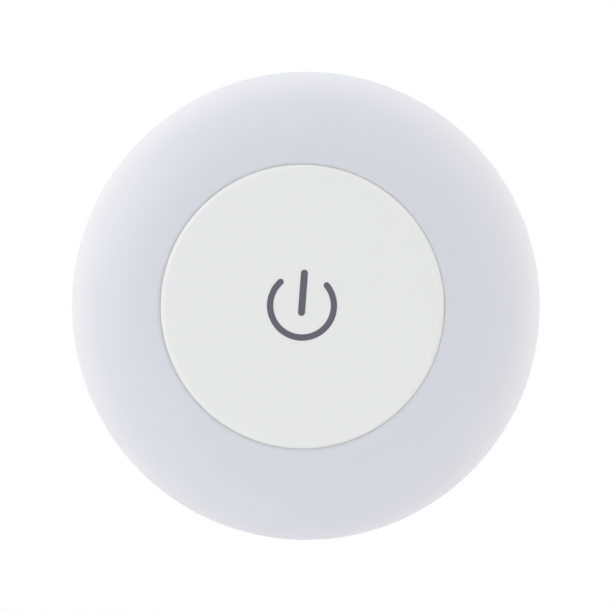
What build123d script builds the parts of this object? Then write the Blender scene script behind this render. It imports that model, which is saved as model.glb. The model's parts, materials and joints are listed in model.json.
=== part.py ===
from build123d import *
import os
from math import cos, hypot, pi, radians, sin, sqrt, tan

# Round push light on three cells, for a wall.
# It is modelled lying on its back: Z runs from the wall into the room and Y is up once it hangs.
# Lengths are in millimetres and angles in degrees.

# Clearances
seat_gap = 0.1
cap_gap = 0.25
door_gap = 0.3
snap_gap = 0.15
pin_gap = 0.12
moving_gap = 0.3
overrun = 1.0
edge_softening = 0.3

# Outer form
overall_diameter = 80.0
crown_radius = 32.0
crown_tilt = 4
shoulder_radius = 8.6
skirt_draft = 0.6
housing_step = 0.8
housing_flare = 2.7
back_rounding = 2.5
parting_gap = 0.25

# Press cap
ring_width = 16.15
cap_wall = 1.5
cap_proud = 0.2
cap_edge_radius = 2.0
cap_edge_turn = 30
skirt_wall = 1.4
cap_travel = 1.6
cap_bottom_clearance = 0.4
rib_count = 6
rib_width = 1.0
rib_height = 0.8
boss_radius = 3.2
boss_pad = 0.5

# Guide legs of the cap
leg_count = 3
leg_first_angle = 90
leg_inset = 1.9
leg_thickness = 1.4
leg_width = 4.0
hook_reach = 0.9
hook_height = 1.0

# Power symbol
symbol_radius = 5.37
symbol_stroke = 1.03
symbol_depth = 0.3
symbol_lift = 0.18
symbol_open_half_angle = 46.5
bar_length = 7.8
bar_width = 1.16
bar_below_centre = 1.75

# Diffuser ring
diffuser_wall = 2.0
collar_wall = 1.8
lip_radius = 2.0
lip_turn = 20
bead_radius = 0.3
bead_height = 1.4
inner_corner_radius = 1.0

# Rear housing
housing_wall = 1.8
inner_corner = 1.5
tongue_wall = 1.4
tongue_height = 2.6
tongue_below_board = 1.6
bay_wall = 1.4
bay_ceiling = 1.2
bay_headroom = 0.2
bay_side_room = 0.45
bay_corner = 1.0
bay_edge_gap = 3.705
cradle_thickness = 1.5
cradle_spacing = 24.0
cradle_drop = 1.5

# Keyholes
keyhole_shift = 0.45
keyhole_drop = 3.0
keyhole_lift = 7.0
entry_radius = 3.5
slot_radius = 1.9
pocket_depth = 4.6
pocket_wall = 1.2
pocket_margin = 0.6
pocket_corner = 2.7

# Housing screws
screw_count = 4
screw_first_angle = 45
screw_edge = 4.0
screw_length = 14.0
screw_radius = 1.15
screw_head_radius = 2.2
screw_head_height = 1.6
screw_head_rounding = 0.5
screw_seat_height = 7.0
screw_tip = 1.0
drive_width = 0.6
drive_length = 2.6
drive_depth = 0.8
screw_boss_radius = 3.4
frame_boss_radius = 2.5
pilot_roof = 0.9

# Battery door
door_thickness = 1.5
door_recess = 0.3
door_corner = 1.5
tab_width = 5.0
tab_reach = 2.2
tab_thickness = 1.2
tab_root = 1.5
tab_spacing = 11.3
latch_width = 8.0
latch_length = 9.0
latch_slit = 0.9
latch_reach = 0.7
latch_thickness = 1.0
latch_root = 1.3
grip_count = 4
grip_pitch = 1.5
grip_width = 0.6
grip_depth = 0.35
scoop_radius = 9.0
scoop_depth = 1.0
scoop_inset = 1.1

# Cells
cell_radius = 5.25
cell_gap = 0.8
nub_radius = 1.9
nub_height = 1.0
nub_rounding = 0.3
can_rounding = 0.5
cathode_rim = 3.2
cathode_recess = 0.25
sleeve_thickness = 0.15
sleeve_gap = 0.02
sleeve_end = 0.9

# Foam pad in the door
foam_thickness = 0.7
foam_side_gap = 2.0
foam_length = 22.0
foam_corner = 1.0

# Contacts and their springs
plate_thickness = 0.4
plate_width = 8.4
plate_height = 7.6
plate_corner = 0.8
dimple_height = 0.6
dimple_base = 2.4
dimple_top = 1.2
tag_width = 2.4
spring_wire = 0.5
spring_length = 3.3
spring_base_radius = 3.1
spring_tip_radius = 1.5
spring_turns = 3

# Board and what it carries
pin_room = 1.7
board_thickness = 1.0
board_edge_gap = 0.45
board_hole_gap = 0.25
led_count = 8
led_first_angle = 22.5
led_length = 3.5
led_width = 2.8
led_height = 0.7
phosphor_length = 2.6
phosphor_width = 2.1
phosphor_depth = 0.25
resistor_length = 2.0
resistor_width = 1.25
resistor_height = 0.5
resistor_cap = 0.35
resistor_step = 0.09
resistor_margin = 1.5

# Inner frame
frame_above_board = 1.0
frame_floor = 1.2
upstand_wall = 1.0
upstand_height = 1.4
dish_wall = 1.1
dish_edge_gap = 0.6
window_margin = 0.5
rib_ring_wall = 1.2

# Latching push switch
switch_width = 7.0
switch_height = 6.0
cover_thickness = 0.6
clip_thickness = 0.3
clip_width = 3.0
clip_drop = 3.6
switch_wall = 0.8
switch_floor = 1.0
plunger_radius = 1.6
plunger_reach = 2.7
plunger_guide = 0.2
flange_thickness = 1.2
flange_side_gap = 0.2
guide_pin_radius = 0.8
guide_pin_length = 1.1
return_wire = 0.3
return_radius = 1.35
return_turns = 3.5
pin_rows = 2
pins_per_row = 3
pin_row_spacing = 4.4
pin_pitch = 2.0
pin_width = 0.6
pin_thickness = 0.3
pin_root = 0.5
pin_hole_radius = 0.45
pin_end_gap = 0.4
solder_radius = 0.8
solder_height = 0.9

# Wires
wire_diameter = 1.2
wire_straight = 9.0
pad_from_axis_x = 6.0
pad_from_axis_y = 7.5
pad_solder_radius = 1.2
pad_solder_height = 0.9
tag_solder_radius = 0.8
wire_bend_share = 0.45

# Hanging turn, from lying on its back to facing the room
hanging_turn = 90

# Radii
outer_radius = overall_diameter / 2
skirt_inner_radius = outer_radius - diffuser_wall
tongue_outer_radius = skirt_inner_radius - snap_gap
tongue_inner_radius = tongue_outer_radius - tongue_wall
rim_radius = outer_radius - housing_step
back_radius = rim_radius - housing_flare
inner_back_radius = back_radius - housing_wall
board_radius = tongue_inner_radius - board_edge_gap
cap_radius = outer_radius - ring_width
collar_bore = cap_radius + cap_gap
collar_outer_radius = collar_bore + collar_wall
upstand_inner_radius = collar_outer_radius + snap_gap
upstand_outer_radius = upstand_inner_radius + upstand_wall
dish_edge_radius = board_radius - dish_edge_gap
led_circle = (upstand_outer_radius + dish_edge_radius) / 2
screw_circle = board_radius - screw_edge
cap_bore = cap_radius - skirt_wall
leg_circle = cap_bore - leg_inset - leg_thickness / 2
hook_tip_radius = leg_circle + leg_thickness / 2 + hook_reach
resistor_circle = hook_tip_radius + moving_gap + resistor_margin

# Heights above the wall
door_inner_height = door_recess + door_thickness
back_wall = door_inner_height + seat_gap
cell_height = door_inner_height + foam_thickness + seat_gap + cell_radius
ceiling_height = cell_height + cell_radius + bay_headroom
bay_top_height = ceiling_height + bay_ceiling
board_height = bay_top_height + pin_room
board_top_height = board_height + board_thickness
tongue_top_height = board_height - tongue_below_board
parting_height = tongue_top_height - tongue_height
frame_bottom_height = board_top_height + frame_above_board
floor_height = frame_bottom_height + frame_floor
switch_top_height = board_top_height + switch_height
plunger_top_height = switch_top_height + plunger_reach
cap_inner_height = plunger_top_height + seat_gap + boss_pad
cap_front_height = cap_inner_height + cap_wall
lip_height = cap_front_height - cap_proud
skirt_bottom_height = parting_height + parting_gap
cap_skirt_height = floor_height + cap_travel + cap_bottom_clearance
hook_top_height = frame_bottom_height - seat_gap
leg_end_height = hook_top_height - hook_height

# Battery bay, across the cells and along them
# Its outer corners stay clear of the shell, so the room that is left there sets the cells' length.
cell_pitch = 2 * cell_radius + cell_gap
bay_width = 2 * (cell_pitch + cell_radius + bay_side_room)
bay_outer_corner = bay_corner + bay_wall
corner_reach = inner_back_radius - bay_edge_gap - bay_outer_corner
corner_across = bay_width / 2 - bay_corner
corner_along = sqrt(corner_reach * corner_reach - corner_across * corner_across)
bay_length = 2 * (corner_along + bay_corner)
contact_depth = seat_gap + plate_thickness
cell_length = bay_length - 2 * contact_depth - dimple_height - spring_length
opening_length = bay_length + 2 * (bay_wall - door_gap)
opening_width = bay_width + 2 * (bay_wall - door_gap)
plate_face = bay_length / 2 - contact_depth
cell_nub_end = plate_face - dimple_height
cell_far_end = cell_nub_end - cell_length

# Keyholes, about halfway between the bay and the shell
keyhole_across = (bay_width / 2 + bay_wall + inner_back_radius) / 2 + keyhole_shift


def post(radius, low, high, at=(0, 0)):
    """A round post between two heights."""
    return extrude(Pos(at[0], at[1], low) * Circle(radius), high - low)


def block(size_x, size_y, low, high, at=(0, 0), corner=0):
    """A block between two heights, with rounded upright edges where a corner radius is given."""
    if corner:
        outline = RectangleRounded(size_x, size_y, corner)
    else:
        outline = Rectangle(size_x, size_y)
    return extrude(Pos(at[0], at[1], low) * outline, high - low)


def section_line(*points):
    """Straight runs of a section, given as (radius, height) points."""
    return Polyline(*[(radius, 0, height) for radius, height in points])


def section_arc(start, end, centre):
    """The short arc of a section about a centre, all given as (radius, height) points."""
    size = hypot(start[0] - centre[0], start[1] - centre[1])
    across = start[0] + end[0] - 2 * centre[0]
    along = start[1] + end[1] - 2 * centre[1]
    reach = size / hypot(across, along)
    middle = (centre[0] + across * reach, 0, centre[1] + along * reach)
    return ThreePointArc((start[0], 0, start[1]), middle, (end[0], 0, end[1]))


def turned(*edges):
    """The solid that a closed section makes, turned about the lamp's axis."""
    return revolve(make_face(list(edges)), Axis.Z)


def turned_points(*points):
    """The solid that a section of straight runs makes, turned about the lamp's axis."""
    return turned(section_line(*points, points[0]))


def rounded_corner(face, point, radius):
    """A section face with the corner nearest to a (radius, height) point rounded."""
    place = Vector(point[0], 0, point[1])
    corner = min(face.vertices(), key=lambda vertex: (Vector(vertex) - place).length)
    return fillet(corner, radius)


def rounded_section(points, roundings):
    """A section face of straight runs, with some of its corners rounded by number."""
    face = make_face(section_line(*points, points[0]))
    for number, radius in roundings.items():
        face = rounded_corner(face, points[number], radius)
    return face


def softened_cut(outline):
    """The sloping cut that takes the sharp edge off an opening of this outline in the back face."""
    return extrude(offset(outline, amount=edge_softening), edge_softening, taper=45)


def on_circle(radius, angle):
    """The place on a circle about the lamp's axis."""
    return (radius * cos(radians(angle)), radius * sin(radians(angle)))


def around(count, first_angle):
    """The angles of evenly spaced pieces."""
    return [first_angle + 360 / count * step for step in range(count)]


def coil_place(height, first_radius, last_radius, turns, share):
    """A point on a coil about Z that rises from zero, and the coil's direction there."""
    angle = 2 * pi * turns * share
    radius = first_radius + (last_radius - first_radius) * share
    point = Vector(radius * cos(angle), radius * sin(angle), height * share)
    across = last_radius - first_radius
    swing = 2 * pi * turns * radius
    direction = Vector(
        across * cos(angle) - swing * sin(angle),
        across * sin(angle) + swing * cos(angle),
        height,
    )
    return point, direction.normalized()


def biarc(start, start_direction, end, end_direction):
    """Two arcs that leave one point and reach another in given directions."""
    chord = end - start
    both = start_direction + end_direction
    bend = 2 * (1 - start_direction.dot(end_direction))
    reach = chord.dot(both)
    handle = (sqrt(reach * reach + bend * chord.dot(chord)) - reach) / bend
    middle = (start + end + (start_direction - end_direction) * handle) / 2
    return [
        TangentArc(start, middle, tangent=start_direction),
        TangentArc(middle, end, tangent=-end_direction, tangent_from_first=False),
    ]


def least_coil_gap(height, first_radius, last_radius, turns, wire):
    """The least gap between neighbouring turns, measured on points along the coil."""
    steps_per_turn = 48
    count = int(turns * steps_per_turn)
    shares = [step / count for step in range(count + 1)]
    places = [coil_place(height, first_radius, last_radius, turns, share)[0] for share in shares]
    gaps = [
        (places[low] - places[high]).length - wire
        for low in range(count + 1)
        for high in range(low + steps_per_turn // 2, count + 1)
    ]
    return min(gaps)


def coil(name, length, first_radius, last_radius, turns, wire):
    """A coil spring about Z that stands on the ground plane, its wire centred on the two radii."""
    height = length - wire
    halves = int(2 * turns)
    path = []
    for half in range(halves):
        start = coil_place(height, first_radius, last_radius, turns, half / halves)
        end = coil_place(height, first_radius, last_radius, turns, (half + 1) / halves)
        path += biarc(*start, *end)
    start, direction = coil_place(height, first_radius, last_radius, turns, 0)
    spring = sweep(Plane(start, z_dir=direction) * Circle(wire / 2), path=Wire(path))
    gap = least_coil_gap(height, first_radius, last_radius, turns, wire)
    print(f"{name}: least gap between turns {gap:.2f} mm")
    return Pos(0, 0, wire / 2) * spring


def moved(place, distance, direction):
    """A (radius, height) place moved some distance along a direction of the section."""
    return (place[0] + distance * direction[0], place[1] + distance * direction[1])


def diffuser_ring():
    """Milky ring: collar round the cap, low lip, gently domed front, round shoulder and snap skirt."""
    # The front is one arc, the crown, which meets the lip's arc and the shoulder's arc without a corner.
    foot = floor_height + seat_gap
    skirt_radius = outer_radius - skirt_draft
    inward = (-sin(radians(lip_turn)), cos(radians(lip_turn)))
    upward = (sin(radians(crown_tilt)), cos(radians(crown_tilt)))
    lip_centre = (collar_bore - lip_radius * inward[0], lip_height - lip_radius)
    crown_centre = moved(lip_centre, lip_radius - crown_radius, upward)
    between = crown_radius - shoulder_radius
    across = outer_radius - shoulder_radius - crown_centre[0]
    along = sqrt(between * between - across * across)
    shoulder_centre = (crown_centre[0] + across, crown_centre[1] + along)
    outward = (across / between, along / between)
    widest_height = shoulder_centre[1]
    lip_start = moved(lip_centre, lip_radius, inward)
    lip_end = moved(lip_centre, lip_radius, upward)
    crown_end = moved(crown_centre, crown_radius, outward)
    inner_radius = crown_radius - diffuser_wall
    inner_crown_end = moved(crown_centre, inner_radius, outward)
    reach = collar_outer_radius - crown_centre[0]
    rise = sqrt(inner_radius * inner_radius - reach * reach)
    collar_corner = (collar_outer_radius, crown_centre[1] + rise)
    side = TangentArc(
        (outer_radius, 0, widest_height), (skirt_radius, 0, skirt_bottom_height), tangent=(0, 0, -1)
    )
    section = make_face([
        section_line((collar_bore, foot), lip_start),
        section_arc(lip_start, lip_end, lip_centre),
        section_arc(lip_end, crown_end, crown_centre),
        section_arc(crown_end, (outer_radius, widest_height), shoulder_centre),
        side,
        section_line(
            (skirt_radius, skirt_bottom_height),
            (skirt_inner_radius, skirt_bottom_height),
            (skirt_inner_radius, widest_height),
        ),
        section_arc((skirt_inner_radius, widest_height), inner_crown_end, shoulder_centre),
        section_arc(inner_crown_end, collar_corner, crown_centre),
        section_line(collar_corner, (collar_outer_radius, foot), (collar_bore, foot)),
    ])
    section = rounded_corner(section, (skirt_radius, skirt_bottom_height), edge_softening)
    section = rounded_corner(section, collar_corner, inner_corner_radius)
    ring = revolve(section, Axis.Z)
    groove = Pos(0, 0, parting_height + bead_height) * Torus(tongue_outer_radius, bead_radius + snap_gap)
    return ring - groove


def housing_shell():
    """Turned shell of the rear housing, with the snap tongue and its bead."""
    section = rounded_section(
        [
            (0, 0),
            (back_radius, 0),
            (rim_radius, parting_height),
            (tongue_outer_radius, parting_height),
            (tongue_outer_radius, tongue_top_height),
            (tongue_inner_radius, tongue_top_height),
            (tongue_inner_radius, parting_height),
            (inner_back_radius, back_wall),
            (0, back_wall),
        ],
        {1: back_rounding, 2: edge_softening, 7: inner_corner},
    )
    bead = Pos(0, 0, parting_height + bead_height) * Torus(tongue_outer_radius, bead_radius)
    return revolve(section, Axis.Z) + bead


def cell_places():
    """The place across the bay of each cell, and the way its positive end points."""
    return {"left": (-cell_pitch, 1), "middle": (0, -1), "right": (cell_pitch, 1)}


def battery_bay():
    """Walls and ceiling of the battery bay, with cradle ribs that fit the cells."""
    outer = block(
        bay_width + 2 * bay_wall, bay_length + 2 * bay_wall, 0, bay_top_height, corner=bay_outer_corner
    )
    bay = outer - block(bay_width, bay_length, -overrun, ceiling_height, corner=bay_corner)
    for side in (-1, 1):
        cradle = block(
            bay_width,
            cradle_thickness,
            cell_height + cradle_drop,
            ceiling_height,
            at=(0, side * cradle_spacing / 2),
        )
        for across, _ in cell_places().values():
            cradle -= cell_bore(across, cell_radius + bay_headroom)
        bay += cradle
    return bay


def cell_bore(across, radius):
    """A round space along a cell's whole length."""
    bore = Cylinder(radius, bay_length, rotation=(hanging_turn, 0, 0))
    return Pos(across, 0, cell_height) * bore


def keyhole_places():
    """The entry hole of each keyhole."""
    return [(side * keyhole_across, -keyhole_drop) for side in (-1, 1)]


def keyhole_cap(place):
    """Cap over one keyhole inside the housing, which keeps a screw head away from the wires."""
    width = 2 * (entry_radius + pocket_margin)
    length = width + keyhole_lift
    centre = (place[0], place[1] + keyhole_lift / 2)
    low = back_wall + seat_gap
    top = back_wall + pocket_depth
    cap = block(
        width + 2 * pocket_wall,
        length + 2 * pocket_wall,
        low,
        top + pocket_wall,
        at=centre,
        corner=pocket_corner + pocket_wall,
    )
    return cap - block(width, length, low - overrun, top, at=centre, corner=pocket_corner)


def keyhole_cut(place):
    """The keyhole through the back wall: a round entry with a slot that rises from it."""
    outline = Pos(*place) * Circle(entry_radius)
    outline += Pos(place[0], place[1] + keyhole_lift / 2) * Rectangle(2 * slot_radius, keyhole_lift)
    outline += Pos(place[0], place[1] + keyhole_lift) * Circle(slot_radius)
    return extrude(Pos(0, 0, -overrun) * outline, back_wall + 2 * overrun) + softened_cut(outline)


def screw_places():
    """The place of each housing screw."""
    return [on_circle(screw_circle, angle) for angle in around(screw_count, screw_first_angle)]


def door_opening():
    """The space in the back wall that the battery door fills, with its gap."""
    outline = RectangleRounded(opening_width, opening_length, door_corner)
    return extrude(Pos(0, 0, -overrun) * outline, back_wall + overrun) + softened_cut(outline)


def tab_cut(side):
    """The way through the bay's lower end wall for one hook tab, as high as the tab swings."""
    swing = hypot(tab_reach, back_wall + tab_thickness + seat_gap) + moving_gap
    reach = tab_reach + door_gap + bay_wall
    return block(
        tab_width + 2 * door_gap,
        reach,
        back_wall,
        swing,
        at=(side * tab_spacing / 2, -opening_length / 2 + bay_wall - reach / 2),
    )


def latch_cut():
    """The notch in the bay's upper end wall that the latch hooks into."""
    reach = latch_reach + 2 * door_gap + bay_wall
    return block(
        latch_width + 2 * door_gap,
        reach,
        back_wall,
        back_wall + latch_thickness + seat_gap + door_gap,
        at=(0, opening_length / 2 - bay_wall + reach / 2),
    )


def tag_places():
    """The two contacts that have a tag: how far across, and which end of the bay."""
    return {"positive": (-cell_pitch, 1), "negative": (cell_pitch, -1)}


def tag_cut(across, end):
    """The slot in the bay's ceiling for one contact tag."""
    depth = contact_depth + seat_gap
    return block(
        tag_width + 2 * seat_gap,
        depth,
        ceiling_height - overrun,
        bay_top_height + overrun,
        at=(across, end * (bay_length / 2 - depth / 2)),
    )


def finger_scoop():
    """Shallow dish in the back wall beside the latch, where a fingertip goes in."""
    return Pos(0, opening_length / 2 - scoop_inset, scoop_depth - scoop_radius) * Sphere(scoop_radius)


def rear_housing():
    """Back shell: battery bay, screw bosses, keyholes, door seat and snap rim."""
    housing = housing_shell() + battery_bay()
    for place in screw_places():
        housing += post(screw_boss_radius, back_wall / 2, board_height, at=place)
    for place in keyhole_places():
        housing -= keyhole_cut(place)
    recess_radius = screw_head_radius + seat_gap
    for place in screw_places():
        housing -= post(recess_radius, -overrun, screw_seat_height, at=place)
        housing -= softened_cut(Pos(*place) * Circle(recess_radius))
        housing -= post(screw_radius + pin_gap, 0, board_height + overrun, at=place)
    housing -= block(bay_width, bay_length, -overrun, back_wall + overrun, corner=bay_corner)
    housing -= door_opening()
    for side in (-1, 1):
        housing -= tab_cut(side)
    housing -= latch_cut()
    for across, end in tag_places().values():
        housing -= tag_cut(across, end)
    return housing - finger_scoop()


def door_panel():
    """Flat panel of the battery door, with the slits that free its latch tongue."""
    length = opening_length - 2 * door_gap
    panel = block(
        opening_width - 2 * door_gap, length, door_recess, door_inner_height, corner=door_corner - door_gap
    )
    panel = fillet(panel.edges().group_by(Axis.Z)[0], edge_softening)
    slit_centre = length / 2 - latch_length / 2
    for side in (-1, 1):
        across = side * (latch_width + latch_slit) / 2
        panel -= block(
            latch_slit,
            latch_length + overrun,
            0,
            door_inner_height + overrun,
            at=(across, slit_centre + overrun / 2),
        )
    for step in range(grip_count):
        panel -= block(
            latch_width,
            grip_width,
            door_recess - overrun,
            door_recess + grip_depth,
            at=(0, length / 2 - (step + 1) * grip_pitch),
        )
    return panel


def battery_door():
    """Door with two hook tabs at its lower edge and a sprung latch tongue at its upper edge."""
    door = door_panel()
    edge = opening_length / 2 - door_gap
    tab_low = back_wall + seat_gap
    for side in (-1, 1):
        across = side * tab_spacing / 2
        door += block(
            tab_width,
            tab_root,
            door_inner_height - door_thickness / 2,
            tab_low + tab_thickness,
            at=(across, -edge + tab_root / 2),
        )
        door += block(
            tab_width,
            tab_reach + tab_root,
            tab_low,
            tab_low + tab_thickness,
            at=(across, -edge + (tab_root - tab_reach) / 2),
        )
    door += block(
        latch_width,
        latch_root,
        door_inner_height - door_thickness / 2,
        tab_low + latch_thickness,
        at=(0, edge - latch_root / 2),
    )
    door += block(
        latch_width,
        latch_reach + door_gap + latch_root,
        tab_low,
        tab_low + latch_thickness,
        at=(0, edge + (latch_reach + door_gap - latch_root) / 2),
    )
    return door


def door_foam():
    """Foam pad on the door's inner face, which keeps the cells from rattling."""
    return block(
        bay_width - 2 * foam_side_gap,
        foam_length,
        door_inner_height,
        door_inner_height + foam_thickness,
        corner=foam_corner,
    )


def switch_ring():
    """Square rib under the frame that stands on the board round the switch."""
    inner = switch_width + 2 * moving_gap
    outer = inner + 2 * rib_ring_wall
    low = board_top_height + seat_gap
    return block(outer, outer, low, frame_bottom_height) - block(
        inner, inner, low - overrun, frame_bottom_height + overrun
    )


def leg_slot(angle, inner_gap, outer_gap, low, high):
    """The space round one guide leg, as wide as the leg and its side gaps."""
    inner = leg_circle - leg_thickness / 2 - inner_gap
    outer = leg_circle + leg_thickness / 2 + outer_gap
    slot = block(outer - inner, leg_width + 2 * moving_gap, low, high, at=((inner + outer) / 2, 0))
    return Rot(0, 0, angle) * slot


def inner_frame():
    """White reflector: floor under the cap, upstand round the collar, sloping dish and screw bosses."""
    dish_low = board_top_height + seat_gap
    upstand_top = floor_height + upstand_height
    frame = turned_points(
        (0, frame_bottom_height),
        (upstand_outer_radius, frame_bottom_height),
        (upstand_outer_radius, upstand_top - dish_wall),
        (dish_edge_radius, dish_low),
        (dish_edge_radius, dish_low + dish_wall),
        (upstand_outer_radius, upstand_top),
        (upstand_inner_radius, upstand_top),
        (upstand_inner_radius, floor_height),
        (0, floor_height),
    )
    pilot_top = screw_seat_height + screw_length + seat_gap
    for place in screw_places():
        frame += post(frame_boss_radius, dish_low, pilot_top + pilot_roof, at=place)
    frame += switch_ring()
    for place in screw_places():
        frame -= post(screw_radius + seat_gap / 2, 0, pilot_top, at=place)
    window = switch_width + 2 * moving_gap
    frame -= block(window, window, frame_bottom_height - overrun, floor_height + overrun)
    for angle in around(leg_count, leg_first_angle):
        frame -= leg_slot(
            angle, moving_gap, moving_gap, frame_bottom_height - overrun, floor_height + overrun
        )
    for angle in around(led_count, led_first_angle):
        hole = block(
            led_width + 2 * window_margin,
            led_length + 2 * window_margin,
            board_top_height,
            upstand_top + overrun,
            at=(led_circle, 0),
        )
        frame -= Rot(0, 0, angle) * hole
    return frame


def cap_leg(angle):
    """One guide leg of the cap, with the hook that keeps the cap in the frame."""
    inner = leg_circle - leg_thickness / 2
    stem = block(leg_thickness, leg_width, leg_end_height, cap_inner_height + overrun / 2, at=(leg_circle, 0))
    reach = leg_thickness + hook_reach
    hook = block(reach, leg_width, leg_end_height, hook_top_height, at=(inner + reach / 2, 0))
    return Rot(0, 0, angle) * (stem + hook)


def cap_rib(angle):
    """One stiffening rib under the cap, from its boss to its skirt."""
    length = cap_bore - boss_radius + skirt_wall / 2
    rib = block(
        length,
        rib_width,
        cap_inner_height - rib_height,
        cap_inner_height + cap_wall / 2,
        at=(boss_radius + length / 2 - skirt_wall / 4, 0),
    )
    return Rot(0, 0, angle) * rib


def symbol_arc():
    """The open circle of the power symbol, with round ends, as a flat face."""
    outer = symbol_radius + symbol_stroke / 2
    inner = symbol_radius - symbol_stroke / 2
    ring = Circle(outer) - Circle(inner)
    half = symbol_open_half_angle
    reach = 2 * outer
    wedge = Polygon(
        (0, 0),
        (reach * sin(radians(half)), reach * cos(radians(half))),
        (0, 2 * reach),
        (-reach * sin(radians(half)), reach * cos(radians(half))),
        align=None,
    )
    arc = ring - wedge
    for side in (-1, 1):
        place = on_circle(symbol_radius, 90 + side * half)
        arc += Pos(*place) * Circle(symbol_stroke / 2)
    return arc


def symbol_bar():
    """The upright bar of the power symbol, as a flat face."""
    middle = bar_length / 2 - bar_below_centre
    return Pos(0, middle) * SlotOverall(bar_length, bar_width, rotation=hanging_turn)


def power_symbol():
    """Arc and bar of the symbol, inlaid flush with the front of the cap."""
    place = Pos(0, symbol_lift, cap_front_height - symbol_depth)
    return [extrude(place * face, symbol_depth) for face in (symbol_arc(), symbol_bar())]


def push_cap():
    """Press disc with a rounded edge, a skirt, ribs, guide legs and the socket for the plunger."""
    edge_start = cap_radius - cap_edge_radius * sin(radians(cap_edge_turn))
    edge_centre = (edge_start, cap_front_height - cap_edge_radius)
    edge_low = edge_centre[1] + cap_edge_radius * cos(radians(cap_edge_turn))
    cap = turned(
        section_line((0, cap_inner_height), (0, cap_front_height), (edge_start, cap_front_height)),
        section_arc((edge_start, cap_front_height), (cap_radius, edge_low), edge_centre),
        section_line(
            (cap_radius, edge_low),
            (cap_radius, cap_skirt_height),
            (cap_bore, cap_skirt_height),
            (cap_bore, cap_inner_height),
            (0, cap_inner_height),
        ),
    )
    socket_depth = plunger_reach - cap_travel - plunger_guide
    cap += post(boss_radius, plunger_top_height - socket_depth, cap_inner_height + cap_wall / 2)
    for angle in around(rib_count, leg_first_angle):
        cap += cap_rib(angle)
    for angle in around(leg_count, leg_first_angle):
        cap += cap_leg(angle)
    cap -= post(plunger_radius + snap_gap, leg_end_height, plunger_top_height + seat_gap)
    for solid in power_symbol():
        cap -= solid
    return cap


def pin_places():
    """The place of each switch pin."""
    rows = [(row - (pin_rows - 1) / 2) * pin_row_spacing for row in range(pin_rows)]
    steps = [(step - (pins_per_row - 1) / 2) * pin_pitch for step in range(pins_per_row)]
    return [(across, along) for across in rows for along in steps]


def switch_pins():
    """Pins that run from the switch's floor through the board."""
    low = bay_top_height + pin_end_gap
    return [
        block(pin_thickness, pin_width, low, board_top_height + pin_root, at=place) for place in pin_places()
    ]


def switch_body():
    """Square cup of the switch, which the clips of its cover hold from two sides."""
    width = switch_width - 2 * clip_thickness
    top = switch_top_height - cover_thickness
    body = block(width, switch_width, board_top_height, top)
    body -= block(
        width - 2 * switch_wall,
        switch_width - 2 * switch_wall,
        board_top_height + switch_floor,
        top + overrun,
    )
    for pin in switch_pins():
        body -= pin
    return body


def switch_cover():
    """Pressed cover of the switch with a round hole for the plunger and a clip down each side."""
    low = switch_top_height - cover_thickness
    cover = block(switch_width, switch_width, low, switch_top_height)
    for side in (-1, 1):
        cover += block(
            clip_thickness,
            clip_width,
            low - clip_drop,
            low,
            at=(side * (switch_width - clip_thickness) / 2, 0),
        )
    return cover - post(plunger_radius + plunger_guide, low - overrun, switch_top_height + overrun)


def flange_low():
    """The height of the plunger flange's lower face, where the return spring bears."""
    return switch_top_height - cover_thickness - seat_gap - flange_thickness


def switch_plunger():
    """Plunger: round stem, square flange under the cover and a guide pin inside the spring."""
    low = flange_low()
    width_x = switch_width - 2 * clip_thickness - 2 * switch_wall - 2 * flange_side_gap
    width_y = switch_width - 2 * switch_wall - 2 * flange_side_gap
    plunger = block(width_x, width_y, low, low + flange_thickness)
    plunger += post(plunger_radius, low + flange_thickness / 2, plunger_top_height)
    return plunger + post(guide_pin_radius, low - guide_pin_length, low + flange_thickness / 2)


def plunger_spring():
    """Return spring between the switch's floor and the plunger's flange."""
    low = board_top_height + switch_floor
    length = flange_low() - low
    spring = coil("plunger_spring", length, return_radius, return_radius, return_turns, return_wire)
    return Pos(0, 0, low) * spring


def switch_solder():
    """Solder cones round the pins, under the board."""
    low = board_height - solder_height
    return [
        solder_cone(place, solder_radius, low, board_height) - pin
        for place, pin in zip(pin_places(), switch_pins())
    ]


def solder_cone(place, radius, low, high):
    """A cone of solder that hangs from the board's underside."""
    tip = radius / 2
    cone = Cone(tip, radius, high - low, align=(Align.CENTER, Align.CENTER, Align.MIN))
    return Pos(place[0], place[1], low) * cone


def led_board():
    """Round board with holes for the screws, the guide legs and the switch pins."""
    board = post(board_radius, board_height, board_top_height)
    for place in screw_places():
        board -= post(
            screw_radius + board_hole_gap, board_height - overrun, board_top_height + overrun, at=place
        )
    for angle in around(leg_count, leg_first_angle):
        board -= leg_slot(
            angle, moving_gap, hook_reach + moving_gap, board_height - overrun, board_top_height + overrun
        )
    for place in pin_places():
        board -= post(pin_hole_radius, board_height - overrun, board_top_height + overrun, at=place)
    return board


def phosphor_face(angle):
    """The light face of one LED, in the recess of its package."""
    top = board_top_height + led_height
    face = block(phosphor_width, phosphor_length, top - phosphor_depth, top, at=(led_circle, 0))
    return Rot(0, 0, angle) * face


def led_package(angle):
    """One LED package on the board."""
    package = block(
        led_width, led_length, board_top_height, board_top_height + led_height, at=(led_circle, 0)
    )
    return Rot(0, 0, angle) * package - phosphor_face(angle)


def led_resistor(angle):
    """One chip resistor between the board and the frame's floor, with its two end caps."""
    core = block(
        resistor_width,
        resistor_length - 2 * resistor_cap,
        board_top_height,
        board_top_height + resistor_height - resistor_step,
        at=(resistor_circle, 0),
    )
    for side in (-1, 1):
        core += block(
            resistor_width,
            resistor_cap,
            board_top_height,
            board_top_height + resistor_height,
            at=(resistor_circle, side * (resistor_length - resistor_cap) / 2),
        )
    return Rot(0, 0, angle) * core


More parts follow.
